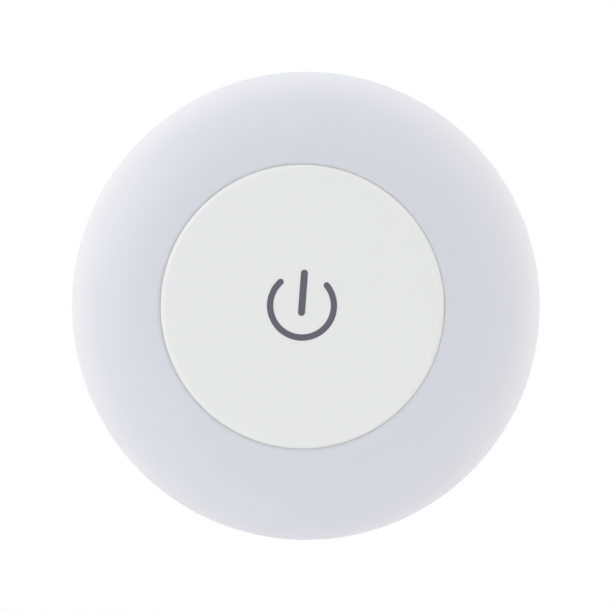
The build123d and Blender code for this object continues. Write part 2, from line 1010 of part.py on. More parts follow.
def standing_cell():
    """Steel can of a cell about Z, with its nub at the top and its far end at zero."""
    can_radius = cell_radius - sleeve_thickness
    shoulder = cell_length - nub_height
    face = rounded_section(
        [
            (0, cathode_recess),
            (cathode_rim, cathode_recess),
            (cathode_rim, 0),
            (can_radius, 0),
            (can_radius, shoulder),
            (nub_radius, shoulder),
            (nub_radius, cell_length),
            (0, cell_length),
        ],
        {3: can_rounding, 4: can_rounding, 6: nub_rounding},
    )
    return revolve(face, Axis.Z)


def standing_sleeve():
    """Shrink sleeve round a cell's can, about Z."""
    can_radius = cell_radius - sleeve_thickness + sleeve_gap
    top = cell_length - nub_height - sleeve_end
    return post(cell_radius, sleeve_end, top) - post(can_radius, 0, cell_length)


def laid_in_bay(standing, across, way):
    """A standing cell piece laid in the bay, its nub towards the end that its way gives."""
    if way > 0:
        laid = Pos(0, cell_far_end, 0) * Rot(-hanging_turn, 0, 0) * standing
    else:
        laid = Pos(0, -cell_far_end, 0) * Rot(hanging_turn, 0, 0) * standing
    return Pos(across, 0, cell_height) * laid


def end_plate(width, across, end):
    """Contact plate against one end wall of the bay, its face towards the cells."""
    plate = extrude(RectangleRounded(width, plate_height, plate_corner), plate_thickness)
    upper_face = plate_face + plate_thickness if end > 0 else -plate_face
    return Pos(across, upper_face, cell_height) * Rot(hanging_turn, 0, 0) * plate


def dimple(across, end):
    """Raised button of a contact plate that meets a cell's nub."""
    cone = Cone(dimple_base, dimple_top, dimple_height, align=(Align.CENTER, Align.CENTER, Align.MIN))
    return Pos(across, end * plate_face, cell_height) * Rot(end * hanging_turn, 0, 0) * cone


def tag(across, end):
    """Solder tag that rises from a contact plate through the bay's ceiling."""
    low = cell_height + plate_height / 2 - plate_corner
    centre = end * (plate_face + plate_thickness / 2)
    return block(tag_width, plate_thickness, low, tag_top_height(), at=(across, centre))


def tag_top_height():
    """The height that a tag reaches, just under the board."""
    return board_height - seat_gap


def contact_positive():
    """Plate with a button and a tag, at the left cell's positive end."""
    across, end = tag_places()["positive"]
    return end_plate(plate_width, across, end) + dimple(across, end) + tag(across, end)


def contact_negative():
    """Plate with a tag, which holds the right cell's spring."""
    across, end = tag_places()["negative"]
    return end_plate(plate_width, across, end) + tag(across, end)


def contact_link(end, button_across):
    """Plate that joins two neighbouring cells, with a button for one of them."""
    across = end * cell_pitch / 2
    return end_plate(plate_width + cell_pitch, across, end) + dimple(button_across, end)


def contact_spring(name, across, way):
    """Conical spring between a contact plate and a cell's far end."""
    spring = coil(
        name, spring_length, spring_base_radius, spring_tip_radius, spring_turns, spring_wire
    )
    return Pos(across, -way * plate_face, cell_height) * Rot(-way * hanging_turn, 0, 0) * spring


def wire_height():
    """The height of the wires' centre, halfway between the bay and the board."""
    return (bay_top_height + board_height) / 2


def wire_route(across, end):
    """Points of a wire from its tag to its pad near the switch."""
    height = wire_height()
    start = end * plate_face
    turn = end * (plate_face - wire_straight)
    side = 1 if across > 0 else -1
    pad = (side * pad_from_axis_x, end * pad_from_axis_y)
    return [(across, start, height), (across, turn, height), (pad[0], pad[1], height)]


def wire(across, end):
    """One insulated wire, from its tag to its pad."""
    route = [Vector(*point) for point in wire_route(across, end)]
    first, second = route[1] - route[0], route[2] - route[1]
    bend = radians(first.get_angle(second))
    radius = wire_bend_share * min(first.length, second.length) / tan(bend / 2)
    path = FilletPolyline(*route, radius=radius)
    return sweep(Plane(route[0], z_dir=first) * Circle(wire_diameter / 2), path=path)


def wire_solder():
    """Solder at each tag and each pad, moulded round the wires and tags."""
    joints = []
    for across, end in tag_places().values():
        route = wire_route(across, end)
        lead = wire(across, end)
        ball = Pos(*route[0]) * Sphere(tag_solder_radius)
        behind = tag(across, end) + tag_back(across, end)
        joints.append(ball - lead - behind)
        low = board_height - pad_solder_height
        joints.append(solder_cone(route[2][:2], pad_solder_radius, low, board_height) - lead)
    return joints


def tag_back(across, end):
    """The space behind a tag, where its solder doesn't reach."""
    depth = 2 * tag_solder_radius
    centre = end * (plate_face + depth / 2)
    return block(2 * depth, depth, ceiling_height, board_height, at=(across, centre))


def housing_screws():
    """Pan head screws with a cross drive, from the back of the housing into the inner frame."""
    tip = screw_seat_height + screw_length
    screws = []
    for place in screw_places():
        screw = post(screw_radius, screw_seat_height, tip - screw_tip, at=place)
        point = Cone(
            screw_radius, screw_radius / 2, screw_tip, align=(Align.CENTER, Align.CENTER, Align.MIN)
        )
        screw += Pos(place[0], place[1], tip - screw_tip) * point
        head_low = screw_seat_height - screw_head_height
        head = post(screw_head_radius, head_low, screw_seat_height, at=place)
        screw += fillet(head.edges().group_by(Axis.Z)[0], screw_head_rounding)
        for size_x, size_y in ((drive_length, drive_width), (drive_width, drive_length)):
            screw -= block(size_x, size_y, head_low - overrun, head_low + drive_depth, at=place)
        screws.append(screw)
    return screws


def save(name, piece):
    """Write one sub-part, turned to hang on the wall."""
    solids = piece if isinstance(piece, list) else [piece]
    hung = [Rot(hanging_turn, 0, 0) * solid for solid in solids]
    if len(hung) == 1:
        shape = hung[0]
    else:
        shape = Compound(children=[solid for part in hung for solid in part.solids()])
    export_step(shape, f"parts/{name}.step")


def main():
    """Make every sub-part and write it."""
    os.makedirs("parts", exist_ok=True)
    save("rear_housing", rear_housing())
    save("keyhole_caps", [keyhole_cap(place) for place in keyhole_places()])
    save("battery_door", battery_door())
    save("door_foam", door_foam())
    save("diffuser_ring", diffuser_ring())
    save("inner_frame", inner_frame())
    save("push_cap", push_cap())
    save("power_symbol", power_symbol())
    save("housing_screws", housing_screws())
    save("switch_body", switch_body())
    save("switch_cover", switch_cover())
    save("switch_plunger", switch_plunger())
    save("plunger_spring", plunger_spring())
    save("switch_pins", switch_pins())
    save("switch_solder", switch_solder())
    save("led_board", led_board())
    angles = around(led_count, led_first_angle)
    save("led_packages", [led_package(angle) for angle in angles])
    save("led_phosphor", [phosphor_face(angle) for angle in angles])
    save("led_resistors", [led_resistor(angle) for angle in angles])
    for side, (across, way) in cell_places().items():
        save(f"cell_{side}", laid_in_bay(standing_cell(), across, way))
        save(f"cell_{side}_sleeve", laid_in_bay(standing_sleeve(), across, way))
        save(f"spring_{side}", contact_spring(f"spring_{side}", across, way))
    save("contact_positive", contact_positive())
    save("contact_negative", contact_negative())
    save("contact_link_upper", contact_link(1, cell_pitch))
    save("contact_link_lower", contact_link(-1, 0))
    for pole, (across, end) in tag_places().items():
        save(f"wire_{pole}", wire(across, end))
    save("wire_solder", wire_solder())


main()
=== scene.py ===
"""Looks of the round push light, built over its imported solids.

Sizes are in millimetres, in the frame that the lamp's source uses: it lies on its back, with Z from
the wall into the room and Y up once it hangs. hung() turns a point of that frame into metres on the
wall.
"""

from __future__ import annotations

import json
import logging
import math
from dataclasses import dataclass, field
from enum import Enum

import bmesh
import bpy
from mathutils import Matrix, Vector

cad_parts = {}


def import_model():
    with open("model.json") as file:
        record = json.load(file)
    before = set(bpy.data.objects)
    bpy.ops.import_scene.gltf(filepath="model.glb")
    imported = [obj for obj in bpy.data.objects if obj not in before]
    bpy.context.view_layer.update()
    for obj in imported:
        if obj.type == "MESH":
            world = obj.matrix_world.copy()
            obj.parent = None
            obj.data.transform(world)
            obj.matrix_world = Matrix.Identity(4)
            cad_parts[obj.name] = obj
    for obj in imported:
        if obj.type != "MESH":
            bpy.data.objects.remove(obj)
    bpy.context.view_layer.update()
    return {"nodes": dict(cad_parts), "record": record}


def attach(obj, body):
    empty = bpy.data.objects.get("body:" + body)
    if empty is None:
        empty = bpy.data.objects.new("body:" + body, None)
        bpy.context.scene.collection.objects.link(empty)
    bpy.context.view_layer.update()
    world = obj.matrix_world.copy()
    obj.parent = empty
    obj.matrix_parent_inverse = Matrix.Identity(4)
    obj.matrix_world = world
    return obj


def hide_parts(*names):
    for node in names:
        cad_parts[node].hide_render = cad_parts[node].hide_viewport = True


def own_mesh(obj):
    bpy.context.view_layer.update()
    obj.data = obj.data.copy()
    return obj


MM = 0.001
TURN_STEPS = 384
CELL_TURN_STEPS = 128
SMALL_TURN_STEPS = 64
CORNER_STEPS = 6
SHARP_ANGLE = math.radians(28)
OVERRUN = 1.0
WELD = 0.002
NOISE_MIDDLE = 0.5
WHITE = (1.0, 1.0, 1.0, 1.0)

# Places that more than one piece keeps to
CAP_FRONT = 28.0
SNAP_RADIUS = 37.85
SNAP_HEIGHT = 13.4
SCREW_COUNT = 4
SCREW_FIRST_ANGLE = 45.0
SCREW_CIRCLE = 32.0
SCREW_SEAT = 7.0
CELL_PITCH = 11.3
CELL_HEIGHT = 7.85

# The numbers of a mix node's sockets when it blends colours: its share, its two colours, its result
MIX_INPUTS = (0, 6, 7)
MIX_RESULT = 2

log = logging.getLogger("push_light")

Point = tuple[float, float]
Outline = list[Point]
Triple = tuple[float, float, float]
Colour = tuple[float, float, float, float]
Piece = bpy.types.Object
Material = bpy.types.Material
Materials = dict[str, Material]
Tree = bpy.types.ShaderNodeTree
Node = bpy.types.Node
Socket = bpy.types.NodeSocket
Feed = float | tuple[float, ...] | Socket
Feeds = dict[str | int, Feed]


def hung(x: float, y: float, z: float) -> Vector:
    """Give a point of the lying lamp, in millimetres, as metres on the wall.

    Args:
        x: Across the lamp, to the right.
        y: Up, once the lamp hangs.
        z: Away from the wall.

    Returns:
        The point in the frame that the scene uses.
    """
    return Vector((x, -z, y)) * MM


def on_circle(radius: float, angle: float) -> Point:
    """Give the point of a circle about the lamp's axis at an angle in degrees."""
    return radius * math.cos(math.radians(angle)), radius * math.sin(math.radians(angle))


def around(count: int, first_angle: float) -> list[float]:
    """Give the angles of evenly spaced pieces, in degrees."""
    return [first_angle + 360 / count * step for step in range(count)]


def arc(centre: Point, radius: float, start: float, end: float, steps: int) -> Outline:
    """Give points along an arc.

    Args:
        centre: Centre of the arc.
        radius: Its radius.
        start: Angle of the first point, in degrees.
        end: Angle of the last point, in degrees.
        steps: How many chords the arc has.

    Returns:
        One point more than there are chords.
    """
    points = []
    for step in range(steps + 1):
        across, along = on_circle(radius, start + (end - start) * step / steps)
        points.append((centre[0] + across, centre[1] + along))
    return points


def rounded(points: Outline, radii: dict[int, float]) -> Outline:
    """Round some corners of a closed outline.

    Args:
        points: The outline's corners in order.
        radii: The rounding of a corner, by the corner's number.

    Returns:
        The outline with an arc in place of each corner that is rounded.
    """
    result: Outline = []
    for number, point in enumerate(points):
        radius = radii.get(number, 0)
        if radius == 0:
            result.append(point)
            continue
        corner = Vector(point)
        before = (Vector(points[number - 1]) - corner).normalized()
        after = (Vector(points[(number + 1) % len(points)]) - corner).normalized()
        half = before.angle(after) / 2
        centre = corner + (before + after).normalized() * (radius / math.sin(half))
        first = corner + before * (radius / math.tan(half)) - centre
        last = corner + after * (radius / math.tan(half)) - centre
        turn = first.angle_signed(last)
        for step in range(CORNER_STEPS + 1):
            arm = first.copy()
            arm.rotate(Matrix.Rotation(-turn * step / CORNER_STEPS, 2))
            result.append((centre.x + arm.x, centre.y + arm.y))
    return result


def circle(radius: float, at: Point = (0, 0), steps: int = SMALL_TURN_STEPS) -> Outline:
    """Give a round outline about a point."""
    return [(at[0] + x, at[1] + y) for x, y in (on_circle(radius, angle) for angle in around(steps, 0))]


def screw_places() -> list[Point]:
    """Give the places of the housing's screws."""
    return [on_circle(SCREW_CIRCLE, angle) for angle in around(SCREW_COUNT, SCREW_FIRST_ANGLE)]


def rectangle(width: float, height: float, at: Point = (0, 0), corner: float = 0) -> Outline:
    """Give a rectangular outline.

    Args:
        width: Its size across.
        height: Its size along.
        at: Its centre.
        corner: The radius of its corners.

    Returns:
        Its points, anticlockwise.
    """
    x, y = width / 2, height / 2
    sides = ((-1, -1), (1, -1), (1, 1), (-1, 1))
    corners = [(at[0] + across * x, at[1] + along * y) for across, along in sides]
    return rounded(corners, dict.fromkeys(range(4), corner)) if corner else corners


def make_object(name: str, points: list[Vector], faces: list[list[int]]) -> Piece:
    """Make a closed mesh object.

    Args:
        name: The object's name.
        points: Its vertices, in metres on the wall.
        faces: The vertices of each face.

    Returns:
        The object, linked to the scene, with its faces turned outwards.
    """
    mesh = bpy.data.meshes.new(name)
    mesh.from_pydata(points, [], faces)
    tool = bmesh.new()
    tool.from_mesh(mesh)
    bmesh.ops.recalc_face_normals(tool, faces=tool.faces)
    tool.to_mesh(mesh)
    tool.free()
    piece = bpy.data.objects.new(name, mesh)
    bpy.context.scene.collection.objects.link(piece)
    return piece


def turned(name: str, section: Outline, at: Point = (0, 0), steps: int = TURN_STEPS) -> Piece:
    """Turn a closed section about an axis that points out of the wall.

    Args:
        name: The object's name.
        section: The section as (radius, height) points. Points on the axis have a radius of zero.
        at: Where the axis stands.
        steps: How many steps the turn has.

    Returns:
        The turned object.
    """
    points: list[Vector] = []
    rings: list[list[int]] = []
    for radius, height in section:
        first = len(points)
        if radius == 0:
            points.append(hung(at[0], at[1], height))
            rings.append([first] * steps)
            continue
        for angle in around(steps, 0):
            x, y = on_circle(radius, angle)
            points.append(hung(at[0] + x, at[1] + y, height))
        rings.append(list(range(first, first + steps)))
    faces = []
    for number, ring in enumerate(rings):
        following = rings[(number + 1) % len(rings)]
        for step in range(steps):
            after = (step + 1) % steps
            corners = [ring[step], ring[after], following[after], following[step]]
            face = [corner for place, corner in enumerate(corners) if corner not in corners[:place]]
            if len(face) > 2:
                faces.append(face)
    return make_object(name, points, faces)


def tube(name: str, rings: list[list[Vector]]) -> Piece:
    """Join rings of points into a closed body.

    Args:
        name: The object's name.
        rings: The rings in order, each with as many points, in metres on the wall.

    Returns:
        The body, closed at its first and its last ring.
    """
    count = len(rings[0])
    points = [point for ring in rings for point in ring]
    faces = [list(range(count)), list(range(len(points) - count, len(points)))]
    for first in range(0, len(points) - count, count):
        for step in range(count):
            after = (step + 1) % count
            faces.append([first + step, first + after, first + count + after, first + count + step])
    return make_object(name, points, faces)


def layered(name: str, layers: list[tuple[Outline, float]]) -> Piece:
    """Raise a body through outlines that lie at rising heights.

    Args:
        name: The object's name.
        layers: Each outline and its height, all with as many points.

    Returns:
        The body.
    """
    return tube(name, [[hung(x, y, height) for x, y in outline] for outline, height in layers])


def prism(name: str, outline: Outline, low: float, high: float) -> Piece:
    """Raise an outline between two heights.

    Args:
        name: The object's name.
        outline: The outline.
        low: The lower height.
        high: The upper height.

    Returns:
        The prism.
    """
    return layered(name, [(outline, low), (outline, high)])


def drop(piece: Piece) -> None:
    """Delete a helper object and its mesh.

    Args:
        piece: The object.
    """
    mesh = piece.data
    bpy.data.objects.remove(piece)
    bpy.data.meshes.remove(mesh)


class Join(Enum):
    """How one mesh is combined with another."""

    ADD = "UNION"
    CUT = "DIFFERENCE"


def combine(piece: Piece, tools: list[Piece], how: Join) -> None:
    """Add meshes to a piece or cut them out of it, and delete them.

    Args:
        piece: The object that is changed.
        tools: The objects that are added or cut out, one after another.
        how: Whether they are added or cut out.
    """
    for tool in tools:
        modifier = piece.modifiers.new("combine", "BOOLEAN")
        modifier.operation = how.value
        modifier.solver = "EXACT"
        modifier.object = tool
        graph = bpy.context.evaluated_depsgraph_get()
        shape = bpy.data.meshes.new_from_object(piece.evaluated_get(graph))
        piece.modifiers.clear()
        old = piece.data
        piece.data = shape
        bpy.data.meshes.remove(old)
        drop(tool)


def weld(piece: Piece) -> None:
    """Join the points that a cut leaves on top of each other, and drop faces without area.

    Args:
        piece: The object that is changed.
    """
    tool = bmesh.new()
    tool.from_mesh(piece.data)
    bmesh.ops.remove_doubles(tool, verts=tool.verts, dist=WELD * MM)
    bmesh.ops.dissolve_degenerate(tool, edges=tool.edges, dist=WELD * MM)
    tool.to_mesh(piece.data)
    tool.free()


def shade(piece: Piece) -> None:
    """Shade a piece smooth but for its sharp edges."""
    piece.data.polygons.foreach_set("use_smooth", [True] * len(piece.data.polygons))
    piece.data.set_sharp_from_angle(angle=SHARP_ANGLE)


def settle(piece: Piece, body: str, slot: str, nodes: list[str], materials: Materials) -> None:
    """Finish a new piece: its mesh, its material, the body that it rides on and what it stands for.

    Args:
        piece: The new object.
        body: The body that carries it.
        slot: The record's slot that its finish belongs to.
        nodes: The solids that it stands for.
        materials: The material of each slot.
    """
    weld(piece)
    shade(piece)
    piece.data.materials.clear()
    piece.data.materials.append(materials[slot])
    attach(piece, body)
    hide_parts(*nodes)
    log.info("made %s on %s with %d faces", piece.name, body, len(piece.data.polygons))


# Node trees and shared effects


class Carries(Enum):
    """What a socket of a shared effect carries."""

    NUMBER = "NodeSocketFloat"
    COLOUR = "NodeSocketColor"
    VECTOR = "NodeSocketVector"


Labels = dict[Carries, tuple[str, ...]]


@dataclass(frozen=True)
class Wiring:
    """A node tree, with the means to add nodes to it and to lead them to each other."""

    tree: Tree

    def feed(self, node: Node, feeds: Feeds) -> None:
        """Set a node's inputs, or lead sockets to them.

        Args:
            node: The node.
            feeds: A value or a socket for each input, by the input's name or number.
        """
        for label, source in feeds.items():
            if isinstance(source, Socket):
                self.tree.links.new(source, node.inputs[label])
            else:
                node.inputs[label].default_value = source

    def add(self, kind: str, feeds: Feeds | None = None, **choices: str | Tree) -> Node:
        """Add a node.

        Args:
            kind: The node's type, without the ShaderNode that the name of each such type starts with.
            feeds: A value or a socket for each input, by the input's name or number.
            choices: The node's own settings.

        Returns:
            The node.
        """
        node = self.tree.nodes.new(f"ShaderNode{kind}")
        for name, choice in choices.items():
            setattr(node, name, choice)
        self.feed(node, feeds or {})
        return node

    def effect(self, group: Tree, feeds: Feeds) -> bpy.types.NodeOutputs:
        """Place a shared effect and give its outputs."""
        return self.add("Group", feeds, node_tree=group).outputs

    def place(self) -> Socket:
        """Give the place on the piece, in metres."""
        return self.add("TexCoord").outputs["Object"]

    def noise(self, place: Socket, scale: Feed, detail: float) -> Socket:
        """Give a cloudy value over the surface."""
        return self.add("TexNoise", {"Vector": place, "Scale": scale, "Detail": detail}).outputs["Fac"]

    def number(self, operation: str, *feeds: Feed) -> Socket:
        """Work out a number from others."""
        return self.add("Math", dict(enumerate(feeds)), operation=operation).outputs[0]

    def vector(self, operation: str, *feeds: Feed) -> Node:
        """Work out a vector or its length from other vectors."""
        return self.add("VectorMath", dict(enumerate(feeds)), operation=operation)

    def blend(self, share: Feed, first: Feed, second: Feed) -> Socket:
        """Blend a share of a second colour into the first."""
        feeds = dict(zip(MIX_INPUTS, (share, first, second), strict=True))
        return self.add("Mix", feeds, data_type="RGBA").outputs[MIX_RESULT]

    def relief(self, height: Socket, depth: float) -> Socket:
        """Turn a height into a normal, for a relief as deep as some millimetres."""
        return self.add("Bump", {"Height": height, "Distance": depth * MM}).outputs["Normal"]


@dataclass
class Effects:
    """The shader node groups that several materials place, each built once."""

    grain_detail: float = 3.0
    patch_scale: float = 60.0
    patch_detail: float = 4.0
    cloud_scale: float = 45.0
    cloud_detail: float = 5.0
    speck_scale: float = 420.0
    speck_size: float = 0.03
    streak_scale: float = 900.0
    streak_detail: float = 4.0
    across_axis: Triple = (1.0, 0.0, 1.0)
    grain: Tree = field(init=False)
    tone: Tree = field(init=False)
    streaks: Tree = field(init=False)
    painted_rim_light: Tree = field(init=False)

    def __post_init__(self) -> None:
        """Build every group."""
        self.grain = self._grain()
        self.tone = self._tone()
        self.streaks = self._streaks()
        self.painted_rim_light = self._paint_rim_light()

    @staticmethod
    def _start(name: str, inputs: Labels, outputs: Labels) -> tuple[Wiring, bpy.types.NodeOutputs, Node]:
        """Start a node group with named sockets.

        Args:
            name: The group's name.
            inputs: The names of its inputs, by what they carry.
            outputs: The names of its outputs, by what they carry.

        Returns:
            The group's wiring, the sockets of what it is given, and the node that takes its results.
        """
        tree = bpy.data.node_groups.new(name, "ShaderNodeTree")
        for way, sockets in (("INPUT", inputs), ("OUTPUT", outputs)):
            for carries, labels in sockets.items():
                for label in labels:
                    tree.interface.new_socket(label, in_out=way, socket_type=carries.value)
        given = tree.nodes.new("NodeGroupInput")
        return Wiring(tree), given.outputs, tree.nodes.new("NodeGroupOutput")

    def _grain(self) -> Tree:
        """Build the fine grain of a moulded surface: a height and an uneven roughness.

        Returns:
            The node group.
        """
        wiring, given, result = self._start(
            "moulded_grain",
            {Carries.NUMBER: ("Grain Scale", "Roughness", "Roughness Spread")},
            {Carries.NUMBER: ("Height", "Roughness")},
        )
        place = wiring.place()
        height = wiring.noise(place, given["Grain Scale"], self.grain_detail)
        patches = wiring.noise(place, self.patch_scale, self.patch_detail)
        centred = wiring.number("SUBTRACT", patches, NOISE_MIDDLE)
        rough = wiring.number("MULTIPLY_ADD", centred, given["Roughness Spread"], given["Roughness"])
        wiring.feed(result, {"Height": height, "Roughness": rough})
        return wiring.tree

    def _tone(self) -> Tree:
        """Build the faint unevenness of a moulded colour: wide clouds and fine specks of dust.

        Returns:
            The node group.
        """
        wiring, given, result = self._start(
            "uneven_tone",
            {Carries.COLOUR: ("Color", "Soiled Color"), Carries.NUMBER: ("Cloud Amount", "Speck Amount")},
            {Carries.COLOUR: ("Color",)},
        )
        place = wiring.place()
        clouds = wiring.noise(place, self.cloud_scale, self.cloud_detail)
        share = wiring.number("MULTIPLY", clouds, given["Cloud Amount"])
        cells = wiring.add("TexVoronoi", {"Vector": place, "Scale": self.speck_scale})
        span = {"Value": cells.outputs["Distance"], "From Min": self.speck_size, "From Max": 0.0}
        specks = wiring.add("MapRange", span).outputs["Result"]
        soiled = wiring.number("MULTIPLY_ADD", specks, given["Speck Amount"], share)
        wiring.feed(result, {"Color": wiring.blend(soiled, given["Color"], given["Soiled Color"])})
        return wiring.tree

    def _streaks(self) -> Tree:
        """Build the streaks of rolled or drawn metal: a tone, a roughness and a height.

        Returns:
            The node group.
        """
        wiring, given, result = self._start(
            "drawn_streaks",
            {
                Carries.COLOUR: ("Color", "Dark Color"),
                Carries.VECTOR: ("Stretch",),
                Carries.NUMBER: ("Roughness", "Roughness Spread"),
            },
            {Carries.COLOUR: ("Color",), Carries.NUMBER: ("Roughness", "Height")},
        )
        stretched = wiring.vector("MULTIPLY", wiring.place(), given["Stretch"])
        lines = wiring.noise(stretched.outputs["Vector"], self.streak_scale, self.streak_detail)
        rough = wiring.number("MULTIPLY_ADD", lines, given["Roughness Spread"], given["Roughness"])
        colour = wiring.blend(lines, given["Color"], given["Dark Color"])
        wiring.feed(result, {"Color": colour, "Roughness": rough, "Height": lines})
        return wiring.tree

    def _paint_rim_light(self) -> Tree:
        """Build the painted light of an opal moulding: a colour that brightens from its bore to its rim,
        for the light that its shoulder catches and lets through.

        Returns:
            The node group.
        """
        wiring, given, result = self._start(
            "painted_light_bore_to_rim",
            {Carries.COLOUR: ("Bore Color", "Rim Painted Light Color"), Carries.NUMBER: ("Bore Radius", "Rim Radius")},
            {Carries.COLOUR: ("Color",)},
        )
        across = wiring.vector("MULTIPLY", wiring.place(), self.across_axis).outputs["Vector"]
        radius = wiring.vector("LENGTH", across).outputs["Value"]
        span = {"Value": radius, "From Min": given["Bore Radius"], "From Max": given["Rim Radius"]}
        # Painted light: the colour turns towards the lighter rim colour as the radius grows.
        share = wiring.add("MapRange", span, interpolation_type="SMOOTHSTEP").outputs["Result"]
        wiring.feed(result, {"Color": wiring.blend(share, given["Bore Color"], given["Rim Painted Light Color"])})
        return wiring.tree


# Finishes


def start_material(name: str) -> tuple[Material, Wiring, Node]:
    """Start a material.

    Args:
        name: The material's name.

    Returns:
        The material, its wiring and its Principled shader.
    """
    material = bpy.data.materials.new(name)
    material.use_nodes = True
    tree = material.node_tree
    return material, Wiring(tree), tree.nodes["Principled BSDF"]


@dataclass(frozen=True)
class PlasticFinish:
    """A moulded plastic: its colour, its grain and how unevenly it shines."""

    name: str
    colour: Colour
    soiled: Colour
    roughness: float = 0.42
    roughness_spread: float = 0.08
    grain_scale: float = 5200.0
    grain_depth: float = 0.004
    clouds: float = 0.03
    specks: float = 0.1
    subsurface: float = 0.0
    subsurface_depth: float = 0.6
    subsurface_spread: Triple = (1.0, 1.0, 1.0)

    def material(self, effects: Effects) -> Material:
        """Make the material.

        Args:
            effects: The shared effects.

        Returns:
            The material.
        """
        material, wiring, shader = start_material(self.name)
        self._dress(wiring, shader, effects, self.colour)
        return material

    def _dress(self, wiring: Wiring, shader: Node, effects: Effects, clean: Feed) -> None:
        """Set the shader of the plastic.

        Args:
            wiring: The material's wiring.
            shader: Its shader.
            effects: The shared effects.
            clean: The colour without its unevenness.
        """
        uneven = {"Soiled Color": self.soiled, "Cloud Amount": self.clouds, "Speck Amount": self.specks}
        tone = wiring.effect(effects.tone, {"Color": clean, **uneven})
        rough = {"Roughness": self.roughness, "Roughness Spread": self.roughness_spread}
        grain = wiring.effect(effects.grain, {"Grain Scale": self.grain_scale, **rough})
        feeds = {
            "Base Color": tone["Color"],
            "Roughness": grain["Roughness"],
            "Normal": wiring.relief(grain["Height"], self.grain_depth),
            "Subsurface Weight": self.subsurface,
            "Subsurface Scale": self.subsurface_depth * MM,
            "Subsurface Radius": self.subsurface_spread,
        }
        wiring.feed(shader, feeds)


@dataclass(frozen=True)
class OpalFinish(PlasticFinish):
    """A milky plastic with painted light: its colour brightens from the bore to the rim."""

    # Painted light: the rim colour is lighter than the bore colour, for the light that the shoulder
    # catches and lets through.
    rim_painted_light_colour: Colour = (0.8, 0.8, 0.82, 1)
    painted_light_start: float = 26.0
    painted_light_end: float = 36.0

    def material(self, effects: Effects) -> Material:
        """Make the material.

        Args:
            effects: The shared effects.

        Returns:
            The material.
        """
        material, wiring, shader = start_material(self.name)
        colours = {"Bore Color": self.colour, "Rim Painted Light Color": self.rim_painted_light_colour}
        radii = {"Bore Radius": self.painted_light_start * MM, "Rim Radius": self.painted_light_end * MM}
        # Painted light that brightens from the bore to the rim, under the plastic's own unevenness.
        painted_rim_light = wiring.effect(effects.painted_rim_light, {**colours, **radii})
        self._dress(wiring, shader, effects, painted_rim_light["Color"])
        return material


@dataclass(frozen=True)
class MetalFinish:
    """A metal surface with streaks from rolling or drawing."""

    name: str
    colour: Colour
    dark: Colour
    roughness: float = 0.25
    roughness_spread: float = 0.15
    stretch: Triple = (1.0, 1.0, 1.0)
    depth: float = 0.002

    def material(self, effects: Effects) -> Material:
        """Make the material.

        Args:
            effects: The shared effects.

        Returns:
            The material.
        """
        material, wiring, shader = start_material(self.name)
        colours = {"Color": self.colour, "Dark Color": self.dark, "Stretch": self.stretch}
        rough = {"Roughness": self.roughness, "Roughness Spread": self.roughness_spread}
        streaks = wiring.effect(effects.streaks, {**colours, **rough})
        feeds = {
            "Metallic": 1.0,
            "Base Color": streaks["Color"],
            "Roughness": streaks["Roughness"],
            "Normal": wiring.relief(streaks["Height"], self.depth),
        }
        wiring.feed(shader, feeds)
        return material


def grey(value: float, warmth: float = 0.0) -> Colour:
    """Give a grey, slightly warm or cold."""
    return value * (1 + warmth), value, value * (1 - warmth), 1.0


